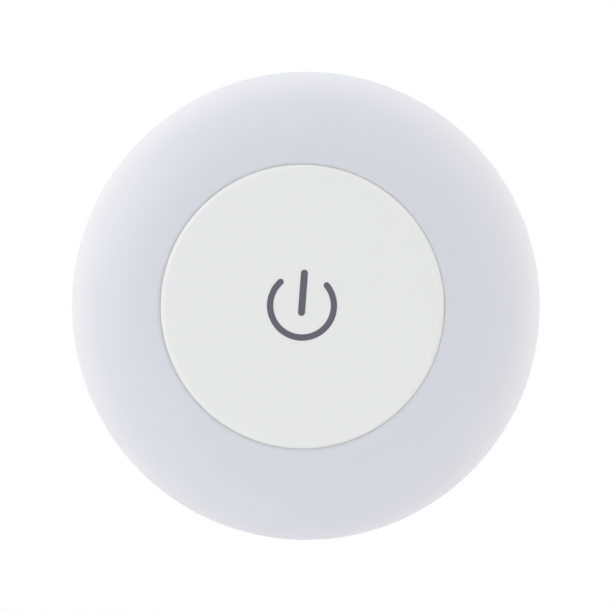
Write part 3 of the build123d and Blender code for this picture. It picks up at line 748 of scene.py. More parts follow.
FINISHES: tuple[PlasticFinish | MetalFinish, ...] = (
    PlasticFinish(
        "housing_white", (0.71, 0.71, 0.715, 1), (0.55, 0.54, 0.53, 1), clouds=0.05, subsurface=0.15
    ),
    OpalFinish(
        "opal_diffuser",
        (0.734, 0.731, 0.803, 1),
        (0.60, 0.60, 0.66, 1),
        roughness=0.36,
        grain_depth=0.002,
        clouds=0.04,
        specks=0.05,
        subsurface=0.7,
        subsurface_depth=1.5,
        # Painted light: a lighter rim colour for the brighter shoulder.
        rim_painted_light_colour=(0.748, 0.745, 0.809, 1),
    ),
    PlasticFinish(
        "cap_white",
        (0.843, 0.843, 0.856, 1),
        (0.70, 0.70, 0.70, 1),
        roughness=0.4,
        specks=0.08,
        subsurface=0.2,
    ),
    PlasticFinish(
        "symbol_grey", (0.118, 0.110, 0.151, 1), (0.20, 0.20, 0.22, 1), roughness=0.5, clouds=0.1
    ),
    PlasticFinish(
        "reflector_white", (0.88, 0.88, 0.88, 1), (0.7, 0.7, 0.7, 1), roughness=0.22, grain_depth=0.001
    ),
    MetalFinish("screw_steel", grey(0.60), grey(0.42), roughness=0.28),
    PlasticFinish(
        "switch_black", (0.02, 0.02, 0.022, 1), (0.06, 0.06, 0.06, 1), roughness=0.5, specks=0.3
    ),
    MetalFinish("switch_steel", grey(0.62), grey(0.48), stretch=(1.0, 1.0, 0.08)),
    PlasticFinish("plunger_white", (0.78, 0.78, 0.75, 1), (0.6, 0.6, 0.56, 1), roughness=0.3),
    MetalFinish("pin_tin", grey(0.78), grey(0.66), roughness=0.2),
    MetalFinish("solder", grey(0.72), grey(0.55), roughness=0.16, depth=0.01),
    MetalFinish("spring_steel", grey(0.72), grey(0.56), roughness=0.18),
    PlasticFinish(
        "board_white", (0.80, 0.83, 0.80, 1), (0.6, 0.64, 0.6, 1), roughness=0.3, grain_scale=2600.0
    ),
    PlasticFinish("led_white", (0.86, 0.86, 0.84, 1), (0.7, 0.7, 0.66, 1), roughness=0.32),
    PlasticFinish(
        "led_phosphor", (0.85, 0.66, 0.12, 1), (0.70, 0.50, 0.08, 1), roughness=0.35, clouds=0.3
    ),
    PlasticFinish(
        "resistor_black", (0.03, 0.03, 0.034, 1), (0.1, 0.1, 0.1, 1), roughness=0.3, clouds=0.2
    ),
    MetalFinish("cell_steel", grey(0.66), grey(0.5), roughness=0.22),
    PlasticFinish(
        "cell_sleeve", (0.055, 0.062, 0.078, 1), (0.10, 0.11, 0.12, 1), roughness=0.24, grain_depth=0.001
    ),
    MetalFinish("contact_nickel", grey(0.74, 0.02), grey(0.6, 0.02), stretch=(0.06, 1, 1)),
    PlasticFinish("wire_red", (0.50, 0.02, 0.015, 1), (0.30, 0.02, 0.02, 1), roughness=0.35),
    PlasticFinish("wire_black", (0.02, 0.02, 0.02, 1), (0.07, 0.07, 0.07, 1), roughness=0.35),
    PlasticFinish(
        "foam_grey",
        (0.09, 0.09, 0.10, 1),
        (0.16, 0.16, 0.17, 1),
        roughness=0.95,
        grain_scale=1400.0,
        grain_depth=0.08,
        clouds=0.5,
    ),
)


# The pieces that are made anew


@dataclass
class DiffuserRing:
    """The milky ring: collar round the cap, rounded lip, low dome, round shoulder and snap skirt."""

    bore: float = 24.1
    land: float = 23.91
    land_height: float = 0.4
    collar: float = 25.9
    foot: float = 19.5
    lip_top: float = 27.8
    lip_rounding: float = 2.0
    lip_turn: float = 20.0
    crown: float = 32.0
    crown_tilt: float = 4.0
    shoulder: float = 8.6
    outer: float = 40.0
    wall: float = 2.0
    inner_corner: float = 1.0
    skirt: float = 39.4
    skirt_bottom: float = 12.25
    edge: float = 0.3
    groove_height: float = SNAP_HEIGHT
    groove_centre: float = SNAP_RADIUS
    groove: float = 0.45
    lip_steps: int = 14
    crown_steps: int = 16
    shoulder_steps: int = 36
    side_steps: int = 16
    groove_steps: int = 10
    inner_shoulder_steps: int = 24
    ceiling_steps: int = 12
    inner_corner_steps: int = 8

    def front_arcs(self) -> tuple[Point, Point, Point, float]:
        """Work out the arcs of the front, where each runs into the next without a step.

        Returns:
            The centres of the lip, the crown and the shoulder, and the angle where the last two meet.
        """
        lip_width = on_circle(self.lip_rounding, 90 - self.lip_turn)[0]
        lip = (self.land + lip_width, self.lip_top - self.lip_rounding)
        reach, rise = on_circle(self.crown - self.lip_rounding, 90 - self.crown_tilt)
        crown = (lip[0] - reach, lip[1] - rise)
        across = self.outer - self.shoulder - crown[0]
        along = math.sqrt((self.crown - self.shoulder) ** 2 - across**2)
        shoulder = (crown[0] + across, crown[1] + along)
        return lip, crown, shoulder, math.degrees(math.atan2(along, across))

    def outside(self) -> Outline:
        """Give the bore, the front and the side, down to the parting line.

        Returns:
            The (radius, height) points from the foot of the bore.
        """
        lip, crown, shoulder, meet = self.front_arcs()
        lip_rise = on_circle(self.lip_rounding, 90 - self.lip_turn)[1]
        low = lip[1] + lip_rise - self.land_height
        step = self.bore - self.land
        draft = self.outer - self.skirt
        fall = shoulder[1] - self.skirt_bottom
        side = (draft * draft + fall * fall) / (2 * draft)
        slope = math.degrees(math.asin(fall / side))
        edge = (self.skirt - self.edge, self.skirt_bottom + self.edge)
        points = [(self.bore, self.foot), (self.bore, low - step), (self.land, low)]
        points += arc(lip, self.lip_rounding, 90 + self.lip_turn, 90 - self.crown_tilt, self.lip_steps)
        points += arc(crown, self.crown, 90 - self.crown_tilt, meet, self.crown_steps)[1:-1]
        points += arc(shoulder, self.shoulder, meet, 0, self.shoulder_steps)
        points += arc((self.outer - side, shoulder[1]), side, 0, -slope, self.side_steps)[1:-1]
        return points + arc(edge, self.edge, 0, -90, CORNER_STEPS)

    def inside(self) -> Outline:
        """Give the hollow side, from the snap groove up under the front and down the collar.

        Returns:
            The (radius, height) points from the parting line.
        """
        _, crown, shoulder, meet = self.front_arcs()
        inner = self.outer - self.wall
        groove = (self.groove_centre, self.groove_height)
        half = math.degrees(math.acos((inner - self.groove_centre) / self.groove))
        ceiling = self.crown - self.wall
        corner = self.collar + self.inner_corner - crown[0]
        start = math.degrees(math.acos(corner / (ceiling - self.inner_corner)))
        across, along = on_circle(ceiling - self.inner_corner, start)
        bend = (crown[0] + across, crown[1] + along)
        points = [(inner, self.skirt_bottom)]
        points += arc(groove, self.groove, -half, half, self.groove_steps)
        points += arc(shoulder, self.shoulder - self.wall, 0, meet, self.inner_shoulder_steps)
        points += arc(crown, ceiling, meet, start, self.ceiling_steps)[1:-1]
        points += arc(bend, self.inner_corner, start, 180, self.inner_corner_steps)
        return points + [(self.collar, self.foot)]

    def build(self, materials: Materials) -> None:
        """Make the ring and dress it.

        Args:
            materials: The material of each slot.
        """
        ring = turned("opal_ring", self.outside() + self.inside())
        settle(ring, "lamp", "opal_diffuser", ["diffuser_ring"], materials)


@dataclass
class PowerSymbol:
    """The dark symbol that is inlaid in the cap: an open circle and an upright bar."""

    front: float = CAP_FRONT
    depth: float = 0.3
    sunk: float = 0.01
    gap: float = 0.01
    lift: float = 0.18
    radius: float = 5.37
    stroke: float = 1.07
    open_half_angle: float = 46.5
    bar_length: float = 7.8
    bar_width: float = 1.2
    bar_below_centre: float = 1.75
    arc_steps: int = 95
    arc_end_steps: int = 16
    bar_end_steps: int = 17

    def outlines(self, shrink: float) -> list[Outline]:
        """Give the two outlines of the symbol.

        Args:
            shrink: How much smaller they are on every side.

        Returns:
            The arc with round ends and the bar with round ends.
        """
        half = self.stroke / 2 - shrink
        start, end = 90 + self.open_half_angle, 360 + 90 - self.open_half_angle
        ring = arc((0, 0), self.radius + half, start, end, self.arc_steps)
        ring += arc(on_circle(self.radius, end), half, end, end + 180, self.arc_end_steps)[1:-1]
        ring += arc((0, 0), self.radius - half, end, start, self.arc_steps)
        ring += arc(on_circle(self.radius, start), half, start - 180, start, self.arc_end_steps)[1:-1]
        width = self.bar_width / 2 - shrink
        reach = self.bar_length / 2 - self.bar_width / 2
        middle = self.bar_length / 2 - self.bar_below_centre
        bar = arc((0, middle + reach), width, 0, 180, self.bar_end_steps)
        bar += arc((0, middle - reach), width, 180, 360, self.bar_end_steps)
        return [[(x, y + self.lift) for x, y in outline] for outline in (ring, bar)]

    def cutters(self) -> list[Piece]:
        """Make the tools that sink the symbol into the cap.

        Returns:
            A tool for each outline.
        """
        low, high = self.front - self.depth, self.front + OVERRUN
        return [prism("symbol_cut", outline, low, high) for outline in self.outlines(0)]

    def build(self, materials: Materials) -> None:
        """Make the inlay and dress it.

        Args:
            materials: The material of each slot.
        """
        low, high = self.front - self.depth + self.gap, self.front - self.sunk
        inlays = [prism("inlaid_symbol", outline, low, high) for outline in self.outlines(self.gap)]
        combine(inlays[0], inlays[1:], Join.ADD)
        settle(inlays[0], "button", "symbol_grey", ["power_symbol"], materials)


@dataclass
class PressCap:
    """The press disc: rounded edge, skirt, ribs, guide legs with hooks and the plunger's socket."""

    radius: float = 23.89
    front: float = CAP_FRONT
    inner: float = 26.5
    edge: float = 1.45
    edge_turn: float = 40.0
    edge_steps: int = 10
    skirt_bottom: float = 21.4
    bore: float = 22.45
    skirt_edge: float = 0.2
    boss: float = 3.2
    boss_low: float = 25.1
    socket: float = 1.75
    socket_top: float = 26.0
    rib_count: int = 6
    rib_width: float = 1.0
    rib_height: float = 0.8
    leg_count: int = 3
    leg_first_angle: float = 90.0
    leg_circle: float = 19.85
    leg_thickness: float = 1.4
    leg_width: float = 4.0
    hook_reach: float = 0.9
    hook_top: float = 18.1
    leg_end: float = 17.1
    symbol: PowerSymbol = field(default_factory=PowerSymbol)

    def shell(self) -> Piece:
        """Make the disc with its rounded edge and its skirt.

        Returns:
            The shell.
        """
        section = [(0, self.inner), (0, self.front)]
        edge_width = self.edge * math.sin(math.radians(self.edge_turn))
        centre = (self.radius - edge_width, self.front - self.edge)
        section += arc(centre, self.edge, 90, 90 - self.edge_turn, self.edge_steps)
        foot = [(self.radius, self.skirt_bottom), (self.bore, self.skirt_bottom)]
        skirt = section[-1:] + foot + [(self.bore, self.inner)]
        section += rounded(skirt, {1: self.skirt_edge, 2: self.skirt_edge})
        return turned("press_cap", section)

    @staticmethod
    def block(inner: float, outer: float, width: float, low: float, high: float, angle: float) -> Piece:
        """Make a block that lies along a radius.

        Args:
            inner: The radius where it starts.
            outer: The radius where it ends.
            width: Its width across.
            low: Its lower height.
            high: Its upper height.
            angle: The radius that it lies along, in degrees.

        Returns:
            The block.
        """
        across, along = on_circle(1, angle)
        corners = [(inner, -width / 2), (outer, -width / 2), (outer, width / 2), (inner, width / 2)]
        outline = [(x * across - y * along, x * along + y * across) for x, y in corners]
        return prism("cap_block", outline, low, high)

    def supports(self) -> list[Piece]:
        """Make the boss, the ribs and the guide legs under the disc.

        Returns:
            The pieces to add to the shell.
        """
        inside = (self.inner + self.front) / 2
        parts = [prism("cap_boss", circle(self.boss), self.boss_low, inside)]
        into_skirt = (self.bore + self.radius) / 2
        rib_low = self.inner - self.rib_height
        for angle in around(self.rib_count, self.leg_first_angle):
            parts.append(self.block(0, into_skirt, self.rib_width, rib_low, inside, angle))
        leg_inner = self.leg_circle - self.leg_thickness / 2
        leg_outer = leg_inner + self.leg_thickness
        tip = leg_outer + self.hook_reach
        for angle in around(self.leg_count, self.leg_first_angle):
            parts.append(self.block(leg_inner, leg_outer, self.leg_width, self.hook_top, inside, angle))
            parts.append(self.block(leg_inner, tip, self.leg_width, self.leg_end, self.hook_top, angle))
        return parts

    def build(self, materials: Materials) -> None:
        """Make the cap and dress it.

        Args:
            materials: The material of each slot.
        """
        cap = self.shell()
        combine(cap, self.supports(), Join.ADD)
        socket = prism("cap_socket", circle(self.socket), self.boss_low - OVERRUN, self.socket_top)
        combine(cap, [socket] + self.symbol.cutters(), Join.CUT)
        settle(cap, "button", "cap_white", ["push_cap"], materials)


@dataclass
class RearShell:
    """The rear housing: flared shell, snap tongue, battery bay, bosses, keyholes and door opening."""

    back: float = 36.5
    back_rounding: float = 2.5
    wall: float = 1.8
    rim: float = 39.2
    rim_height: float = 12.0
    edge: float = 0.3
    tongue_outer: float = SNAP_RADIUS
    tongue_inner: float = 36.45
    tongue_top: float = 14.6
    bead: float = 0.3
    bead_height: float = SNAP_HEIGHT
    bead_steps: int = 8
    back_wall: float = 1.9
    inner_corner: float = 1.5
    bay_width: float = 34.0
    bay_length: float = 49.4
    bay_wall: float = 1.4
    bay_corner: float = 1.0
    bay_ceiling: float = 13.3
    bay_top: float = 14.5
    cradle_thickness: float = 1.5
    cradle_spacing: float = 24.0
    cradle_low: float = 9.35
    cradle_bore: float = 5.45
    cell_height: float = CELL_HEIGHT
    cell_pitch: float = CELL_PITCH
    boss: float = 3.4
    boss_top: float = 16.2
    recess: float = 2.3
    recess_top: float = SCREW_SEAT
    shank_hole: float = 1.27
    keyhole_across: float = 27.0
    keyhole_drop: float = 3.0
    keyhole_lift: float = 7.0
    entry: float = 3.5
    entry_steps: int = 48
    slot: float = 1.9
    slot_steps: int = 24
    opening_width: float = 36.2
    opening_length: float = 51.6
    door_corner: float = 1.5
    door_gap: float = 0.3
    scoop: float = 9.0
    scoop_depth: float = 1.0
    scoop_inset: float = 1.1
    scoop_half_angle: float = 85.0
    scoop_steps: int = 60
    tab_width: float = 5.0
    tab_reach: float = 2.2
    tab_spacing: float = 11.3
    tab_swing: float = 4.2
    latch_width: float = 8.0
    latch_reach: float = 0.7
    latch_thickness: float = 1.0
    seat_gap: float = 0.1
    tag_width: float = 2.4
    contact_depth: float = 0.5

    def shell(self) -> Piece:
        """Make the turned shell with the tongue and its bead.

        Returns:
            The shell.
        """
        corners = [
            (0, 0),
            (self.back, 0),
            (self.rim, self.rim_height),
            (self.tongue_outer, self.rim_height),
            (self.tongue_outer, self.tongue_top),
            (self.tongue_inner, self.tongue_top),
            (self.tongue_inner, self.rim_height),
            (self.back - self.wall, self.back_wall),
            (0, self.back_wall),
        ]
        bead = arc((self.tongue_outer, self.bead_height), self.bead, -90, 90, self.bead_steps)
        past = len(bead)
        radii = {1: self.back_rounding, 2: self.edge, 4 + past: self.edge, 5 + past: self.edge}
        radii[7 + past] = self.inner_corner
        return turned("rear_shell", rounded(corners[:4] + bead + corners[4:], radii))

    def bay(self) -> Piece:
        """Make the block that the battery bay is cut into.

        Returns:
            The block.
        """
        wall = 2 * self.bay_wall
        outer_corner = self.bay_corner + self.bay_wall
        outline = rectangle(self.bay_width + wall, self.bay_length + wall, corner=outer_corner)
        return prism("battery_bay", outline, self.back_wall / 2, self.bay_top)

    def cradles(self) -> list[Piece]:
        """Make the ribs under the bay's ceiling, hollowed for the cells.

        Returns:
            The ribs.
        """
        ribs = []
        for side in (-1, 1):
            at = (0, side * self.cradle_spacing / 2)
            strip = rectangle(self.bay_width + self.bay_wall, self.cradle_thickness, at)
            rib = prism("cradle", strip, self.cradle_low, self.bay_ceiling + self.bay_wall / 2)
            combine(rib, [self.cell_bore(place * self.cell_pitch) for place in (-1, 0, 1)], Join.CUT)
            ribs.append(rib)
        return ribs

    def cell_bore(self, across: float) -> Piece:
        """Make the round space of one cell, along the bay.

        Args:
            across: How far across the bay it lies.

        Returns:
            The tool that cuts it.
        """
        outline = circle(self.cradle_bore)
        rings = []
        for end in (-self.bay_length / 2, self.bay_length / 2):
            rings.append([hung(across + x, end, self.cell_height + z) for x, z in outline])
        return tube("cell_bore", rings)

    def keyhole(self, side: int, grow: float) -> Outline:
        """Give the outline of one keyhole.

        Args:
            side: -1 for the left one and 1 for the right one.
            grow: How much larger it is on every side.

        Returns:
            A round entry with a slot that rises from it.
        """
        entry, slot = self.entry + grow, self.slot + grow
        centre = (side * self.keyhole_across, -self.keyhole_drop)
        meet = math.degrees(math.asin(slot / entry))
        top = (centre[0], centre[1] + self.keyhole_lift)
        outline = arc(centre, entry, 90 + meet, 360 + 90 - meet, self.entry_steps)
        return outline + arc(top, slot, 0, 180, self.slot_steps)

    def softened(self, name: str, wide: Outline, narrow: Outline, top: float) -> Piece:
        """Make a tool for an opening in the back, which widens to a soft edge at the wall."""
        return layered(name, [(wide, -self.edge), (narrow, self.edge), (narrow, top)])

    def through_cuts(self) -> list[Piece]:
        """Make the tools for the keyholes, the screw holes, the door opening and the bay behind it.

        Returns:
            The tools, in the order in which they cut.
        """
        grow = 2 * self.edge
        tools = []
        for side in (-1, 1):
            wide, narrow = self.keyhole(side, grow), self.keyhole(side, 0)
            tools.append(self.softened("keyhole_cut", wide, narrow, self.back_wall + OVERRUN))
        for place in screw_places():
            wide, narrow = circle(self.recess + grow, place), circle(self.recess, place)
            tools.append(self.softened("screw_recess", wide, narrow, self.recess_top))
            shank = circle(self.shank_hole, place)
            tools.append(prism("shank_hole", shank, -OVERRUN, self.boss_top + OVERRUN))
        inside = rectangle(self.bay_width, self.bay_length, corner=self.bay_corner)
        tools.append(prism("bay_space", inside, -OVERRUN, self.bay_ceiling))
        width, length = self.opening_width, self.opening_length
        wide = rectangle(width + 2 * grow, length + 2 * grow, corner=self.door_corner + grow)
        narrow = rectangle(width, length, corner=self.door_corner)
        tools.append(self.softened("door_cut", wide, narrow, self.back_wall))
        return tools

    def catch_cuts(self) -> list[Piece]:
        """Make the tools for the ways of the door's two hook tabs and for the notch of its latch.

        Returns:
            The tools.
        """
        tools = []
        low = self.back_wall - self.seat_gap
        reach = self.tab_reach + self.door_gap + self.bay_wall
        for side in (-1, 1):
            at = (side * self.tab_spacing / 2, -self.opening_length / 2 + self.bay_wall - reach / 2)
            outline = rectangle(self.tab_width + 2 * self.door_gap, reach, at)
            tools.append(prism("tab_way", outline, low, self.tab_swing))
        reach = self.latch_reach + 2 * self.door_gap + self.bay_wall
        at = (0, self.opening_length / 2 - self.bay_wall + reach / 2)
        outline = rectangle(self.latch_width + 2 * self.door_gap, reach, at)
        top = self.back_wall + self.latch_thickness + self.seat_gap + self.door_gap
        tools.append(prism("latch_notch", outline, low, top))
        return tools

    def tag_slots(self) -> list[Piece]:
        """Make the tools for the slots where the contacts' tags leave the bay.

        Returns:
            The tools.
        """
        tools = []
        depth = self.contact_depth + self.seat_gap
        for side in (-1, 1):
            at = (side * self.cell_pitch, -side * (self.bay_length / 2 - depth / 2))
            outline = rectangle(self.tag_width + 2 * self.seat_gap, depth, at)
            tools.append(prism("tag_slot", outline, self.bay_ceiling - OVERRUN, self.bay_top + OVERRUN))
        return tools

    def finger_scoop(self) -> Piece:
        """Make the tool for the round scoop beside the latch, where a finger lifts the door.

        Returns:
            The tool.
        """
        middle = self.scoop_depth - self.scoop
        half = self.scoop_half_angle
        bowl = arc((0, middle), self.scoop, -half, half, self.scoop_steps)
        section = [(0, middle - self.scoop)] + bowl + [(0, self.scoop_depth)]
        place = (0, self.opening_length / 2 - self.scoop_inset)
        return turned("finger_scoop", section, at=place, steps=CELL_TURN_STEPS)

    def build(self, materials: Materials) -> None:
        """Make the housing and dress it.

        Args:
            materials: The material of each slot.
        """
        housing = self.shell()
        outlines = [circle(self.boss, place) for place in screw_places()]
        bosses = [prism("boss", outline, self.back_wall / 2, self.boss_top) for outline in outlines]
        combine(housing, [self.bay()] + bosses, Join.ADD)
        cuts = self.through_cuts() + self.catch_cuts() + self.tag_slots() + [self.finger_scoop()]
        combine(housing, cuts, Join.CUT)
        combine(housing, self.cradles(), Join.ADD)
        settle(housing, "lamp", "housing_white", ["rear_housing"], materials)


@dataclass
class BatterySet:
    """The three cells that lie side by side, each a plated can in a plain sleeve."""

    radius: float = 5.25
    length: float = 44.5
    pitch: float = CELL_PITCH
    height: float = CELL_HEIGHT
    far_end: float = -20.9
    nub: float = 1.9
    nub_height: float = 1.0
    nub_rounding: float = 0.3
    can_rounding: float = 0.5
    sleeve: float = 0.15
    sleeve_gap: float = 0.02
    sleeve_end: float = 0.9
    sleeve_rounding: float = 0.06
    cathode_rim: float = 3.2
    cathode_recess: float = 0.25
    ways: dict[str, int] = field(default_factory=lambda: {"left": 1, "middle": -1, "right": 1})

    def can(self) -> Outline:
        """Give the section of a can that stands on its far end, with its nub at the top.

        Returns:
            Its (radius, height) points.
        """
        can = self.radius - self.sleeve
        shoulder = self.length - self.nub_height
        corners = [
            (0, self.cathode_recess),
            (self.cathode_rim, self.cathode_recess),
            (self.cathode_rim, 0),
            (can, 0),
            (can, shoulder),
            (self.nub, shoulder),
            (self.nub, self.length),
            (0, self.length),
        ]
        return rounded(corners, {3: self.can_rounding, 4: self.can_rounding, 6: self.nub_rounding})

    def wrap(self) -> Outline:
        """Give the section of a sleeve whose ends are shrunk round the can.

        Returns:
            Its (radius, height) points.
        """
        inner, outer = self.radius - self.sleeve + self.sleeve_gap, self.radius
        low, high = self.sleeve_end, self.length - self.nub_height - self.sleeve_end
        corners = [(inner, low), (outer, low), (outer, high), (inner, high)]
        return rounded(corners, {1: self.sleeve_rounding, 2: self.sleeve_rounding})

    def lay(self, piece: Piece, place: float, way: int) -> None:
        """Lay a standing piece in the bay.

        Args:
            piece: A piece that stands on the wall plane at the lamp's axis.
            place: How far across the bay it lies.
            way: 1 where its nub points up and -1 where it points down.
        """
        stand_to_lie = Matrix.Rotation(math.radians(-90 * way), 4, "X")
        shift = Matrix.Translation(hung(place, way * self.far_end, self.height))
        piece.data.transform(shift @ stand_to_lie)

    def build(self, materials: Materials) -> None:
        """Make the cells and dress them.

        Args:
            materials: The material of each slot.
        """
        for column, (name, way) in enumerate(self.ways.items(), start=-1):
            can = turned(f"can_{name}", self.can(), steps=CELL_TURN_STEPS)
            self.lay(can, column * self.pitch, way)
            settle(can, "lamp", "cell_steel", [f"cell_{name}"], materials)
            wrap = turned(f"wrap_{name}", self.wrap(), steps=CELL_TURN_STEPS)
            self.lay(wrap, column * self.pitch, way)
            settle(wrap, "lamp", "cell_sleeve", [f"cell_{name}_sleeve"], materials)


@dataclass
class HousingScrews:
    """The four pan head screws with a cross drive, sunk in the back of the housing."""

    seat: float = SCREW_SEAT
    length: float = 14.0
    shank: float = 1.15
    head: float = 2.2
    head_height: float = 1.6
    head_rounding: float = 0.7
    tip: float = 1.0
    drive_width: float = 0.6
    drive_length: float = 2.6
    drive_depth: float = 0.8
    thread_depth: float = 0.16
    thread_pitch: float = 0.8

    def section(self) -> Outline:
        """Give the section of a screw: head, grooved shank and blunt point.

        Returns:
            Its (radius, height) points from the head upwards.
        """
        low = self.seat - self.head_height
        end = self.seat + self.length
        corners = [(0, low), (self.head, low), (self.head, self.seat), (self.shank, self.seat)]
        head = rounded(corners, {1: self.head_rounding})
        height = self.seat + self.thread_pitch
        thread: Outline = []
        while height < end - self.tip - self.thread_pitch:
            thread.append((self.shank, height))
            thread.append((self.shank - self.thread_depth, height + self.thread_pitch / 2))
            height += self.thread_pitch
        return head + thread + [(self.shank, end - self.tip), (self.shank / 2, end), (0, end)]

    def build(self, materials: Materials) -> None:
        """Make the screws as one piece and dress it.

        Args:
            materials: The material of each slot.
        """
        low = self.seat - self.head_height
        taper = self.drive_width / 2
        mouths = ((self.drive_length, self.drive_width), (self.drive_width, self.drive_length))
        screws = []
        for place in screw_places():
            screw = turned("case_screws", self.section(), at=place, steps=SMALL_TURN_STEPS)
            for width, length in mouths:
                mouth = rectangle(width, length, place)
                bottom = rectangle(width - taper, length - taper / 2, place)
                drive = layered("drive", [(mouth, low), (bottom, low + self.drive_depth)])
                combine(screw, [drive], Join.CUT)
            screws.append(screw)
        combine(screws[0], screws[1:], Join.ADD)
        settle(screws[0], "lamp", "screw_steel", ["housing_screws"], materials)


@dataclass
class ReturnSpring:
    """The small coil spring in the switch, which shortens as the plunger is pressed."""

    low: float = 18.2
    high: float = 21.3
    play: float = 0.005
    wire: float = 0.3
    radius: float = 1.35
    turns: float = 3.5
    travel: float = 1.6
    steps_per_turn: int = 36
    wire_steps: int = 14

    def rings(self) -> list[list[Vector]]:
        """Give the wire as rings of points along the coil.

        Returns:
            The points of each ring, in metres on the wall.
        """
        first = self.low + self.play + self.wire / 2
        rise = self.high - self.low - 2 * self.play - self.wire
        swing = 2 * math.pi * self.turns * self.radius
        count = int(self.turns * self.steps_per_turn)
        rings = []
        for step in range(count + 1):
            share = step / count
            turn = 360 * self.turns * share
            outwards = Vector((*on_circle(1, turn), 0))
            onwards = Vector((*on_circle(swing, turn + 90), rise)).normalized()
            upwards = outwards.cross(onwards)
            centre = outwards * self.radius + Vector((0, 0, first + rise * share))
            ring = []
            for angle in around(self.wire_steps, 0):
                across, along = on_circle(self.wire / 2, angle)
                ring.append(hung(*(centre + outwards * across + upwards * along)))
            rings.append(ring)
        return rings

    def build(self, materials: Materials) -> None:
        """Make the spring, dress it and give it a mesh of its own.

        Args:
            materials: The material of each slot.
        """
        spring = tube("return_spring", self.rings())
        settle(spring, "lamp", "spring_steel", ["plunger_spring"], materials)
        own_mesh(spring)


# The studio


def looking(place: Vector, away: Vector) -> Matrix:
    """Give the placing of a camera or a light that looks against a direction."""
    return Matrix.Translation(place) @ (-away).to_track_quat("-Z", "Y").to_matrix().to_4x4()


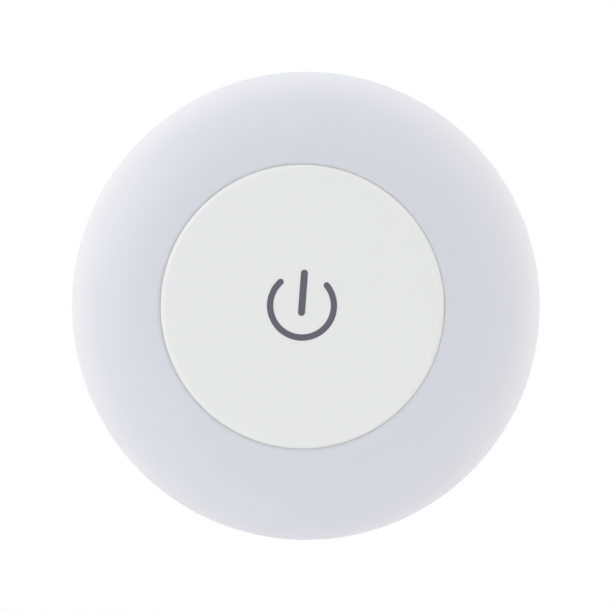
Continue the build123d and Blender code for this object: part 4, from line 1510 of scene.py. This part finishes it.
@dataclass
class Studio:
    """The plain studio: white surroundings, a pale floor, a soft lamp and the camera.

    Its places and sizes are in metres, its angles in degrees, and the lens and the sensor in millimetres.
    """

    distance: float = 0.6
    lens: float = 206.45
    sensor: float = 36.0
    nearest: float = 0.01
    azimuth: float = 2.95
    elevation: float = 0.83
    roll: float = 4.3
    aim: Triple = (0.0, -0.0175, 0.0)
    shift: Point = (0.0013, 0.0)
    floor_drop: float = 0.075
    floor_ahead: float = 0.28
    floor_radius: float = 0.5
    floor_steps: int = 192
    floor_colour: Colour = (0.89, 0.89, 0.89, 1)
    floor_roughness: float = 0.7
    key_power: float = 1.08
    key_size: float = 0.5
    key_place: Triple = (-0.70, -0.55, 0.22)
    side_levels: dict[str, tuple[Triple, Triple]] = field(
        default_factory=lambda: {
            "X": ((1.31, 1.315, 1.185), (1.36, 1.36, 1.22)),
            "Y": ((0.385, 0.393, 0.447), (0.72, 0.75, 0.86)),
            "Z": ((0.52, 0.52, 0.48), (1.20, 1.19, 1.175)),
        }
    )

    def camera(self) -> None:
        """Place the camera at the photograph's viewing angle."""
        data = bpy.data.cameras.new("camera")
        data.lens = self.lens
        data.sensor_width = self.sensor
        data.clip_start = self.nearest
        data.shift_x, data.shift_y = self.shift
        camera = bpy.data.objects.new("camera", data)
        turn, lift = math.radians(self.azimuth), math.radians(self.elevation)
        away = Vector((math.sin(turn) * math.cos(lift), -math.cos(turn) * math.cos(lift), math.sin(lift)))
        tilt = Matrix.Rotation(math.radians(self.roll), 4, "Z")
        camera.matrix_world = looking(Vector(self.aim) + away * self.distance, away) @ tilt
        bpy.context.scene.collection.objects.link(camera)
        bpy.context.scene.camera = camera

    def surroundings(self) -> None:
        """Make the surroundings: white to the camera, with a soft light of its own level from each side.

        The light from a direction blends the levels of the three sides that it lies between, by the
        squares of the direction's parts.
        """
        world = bpy.data.worlds.new("white_studio")
        bpy.context.scene.world = world
        world.use_nodes = True
        world.node_tree.nodes.clear()
        wiring = Wiring(world.node_tree)
        direction = wiring.add("TexCoord").outputs["Generated"]
        parts = wiring.add("SeparateXYZ", {"Vector": direction}).outputs
        total: Feed = (0.0, 0.0, 0.0)
        for axis, (low, high) in self.side_levels.items():
            positive = wiring.number("GREATER_THAN", parts[axis], 0.0)
            level = wiring.blend(positive, (*low, 1), (*high, 1))
            square = wiring.number("MULTIPLY", parts[axis], parts[axis])
            scaled = wiring.add("VectorMath", {0: level, "Scale": square}, operation="SCALE")
            total = wiring.vector("ADD", total, scaled.outputs["Vector"]).outputs["Vector"]
        lighting = wiring.add("Background", {"Color": total}).outputs[0]
        backdrop = wiring.add("Background", {"Color": WHITE}).outputs[0]
        seen = wiring.add("LightPath").outputs["Is Camera Ray"]
        shown = wiring.add("MixShader", {0: seen, 1: lighting, 2: backdrop}).outputs[0]
        wiring.add("OutputWorld", {"Surface": shown})

    def key_light(self) -> None:
        """Hang a large soft lamp at the upper left, in front of the night light."""
        data = bpy.data.lights.new("soft_key", "AREA")
        data.shape = "DISK"
        data.size = self.key_size
        data.energy = self.key_power
        key = bpy.data.objects.new("soft_key", data)
        place = Vector(self.key_place)
        key.matrix_world = looking(place, place)
        bpy.context.scene.collection.objects.link(key)

    def floor(self) -> None:
        """Lay a round pale floor ahead of the night light and lower than it."""
        outline = [on_circle(self.floor_radius, angle) for angle in around(self.floor_steps, 0)]
        points = [Vector((x, y, -self.floor_drop)) for x, y in outline]
        mesh = bpy.data.meshes.new("pale_floor")
        mesh.from_pydata(points, [], [list(range(len(points)))])
        floor = bpy.data.objects.new("pale_floor", mesh)
        floor.location = (0, -self.floor_ahead, 0)
        bpy.context.scene.collection.objects.link(floor)
        mesh.materials.append(self.floor_finish())

    def floor_finish(self) -> Material:
        """Make the floor's matt finish, which fades towards its rim and doesn't show from below.

        Returns:
            The material.
        """
        material, wiring, shader = start_material("pale_floor")
        span = {
            "Value": wiring.vector("LENGTH", wiring.place()).outputs["Value"],
            "From Min": self.floor_radius / 2,
            "From Max": self.floor_radius,
            "To Min": 1.0,
            "To Max": 0.0,
        }
        fade = wiring.add("MapRange", span, interpolation_type="SMOOTHSTEP").outputs["Result"]
        below = wiring.add("NewGeometry").outputs["Backfacing"]
        above = wiring.number("SUBTRACT", 1.0, below)
        feeds = {
            "Base Color": self.floor_colour,
            "Roughness": self.floor_roughness,
            "Alpha": wiring.number("MULTIPLY", fade, above),
        }
        wiring.feed(shader, feeds)
        return material

    def build(self) -> None:
        """Set up the whole studio."""
        bpy.context.scene.view_settings.view_transform = "Standard"
        self.surroundings()
        self.key_light()
        self.floor()
        self.camera()


# The whole night light


def dress_nodes(nodes: dict[str, Piece], record: dict, materials: Materials) -> None:
    """Give every solid that keeps its shape the material of its slot.

    Args:
        nodes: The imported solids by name.
        record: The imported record.
        materials: The material of each slot.
    """
    slots = {entry["node"]: entry["material_slot"] for entry in record["subparts"]}
    for name, node in nodes.items():
        node.data.materials.clear()
        node.data.materials.append(materials[slots[name]])


def main() -> None:
    """Build the studio and every piece in order."""
    logging.basicConfig(level=logging.INFO, format="%(name)s: %(message)s")
    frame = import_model()
    Studio().build()
    effects = Effects()
    materials = {finish.name: finish.material(effects) for finish in FINISHES}
    dress_nodes(frame["nodes"], frame["record"], materials)
    cap = PressCap()
    front = (DiffuserRing(), cap.symbol, cap)
    rear = (RearShell(), BatterySet(), HousingScrews(), ReturnSpring())
    for assembly in front + rear:
        assembly.build(materials)


if __name__ == "__main__":
    main()
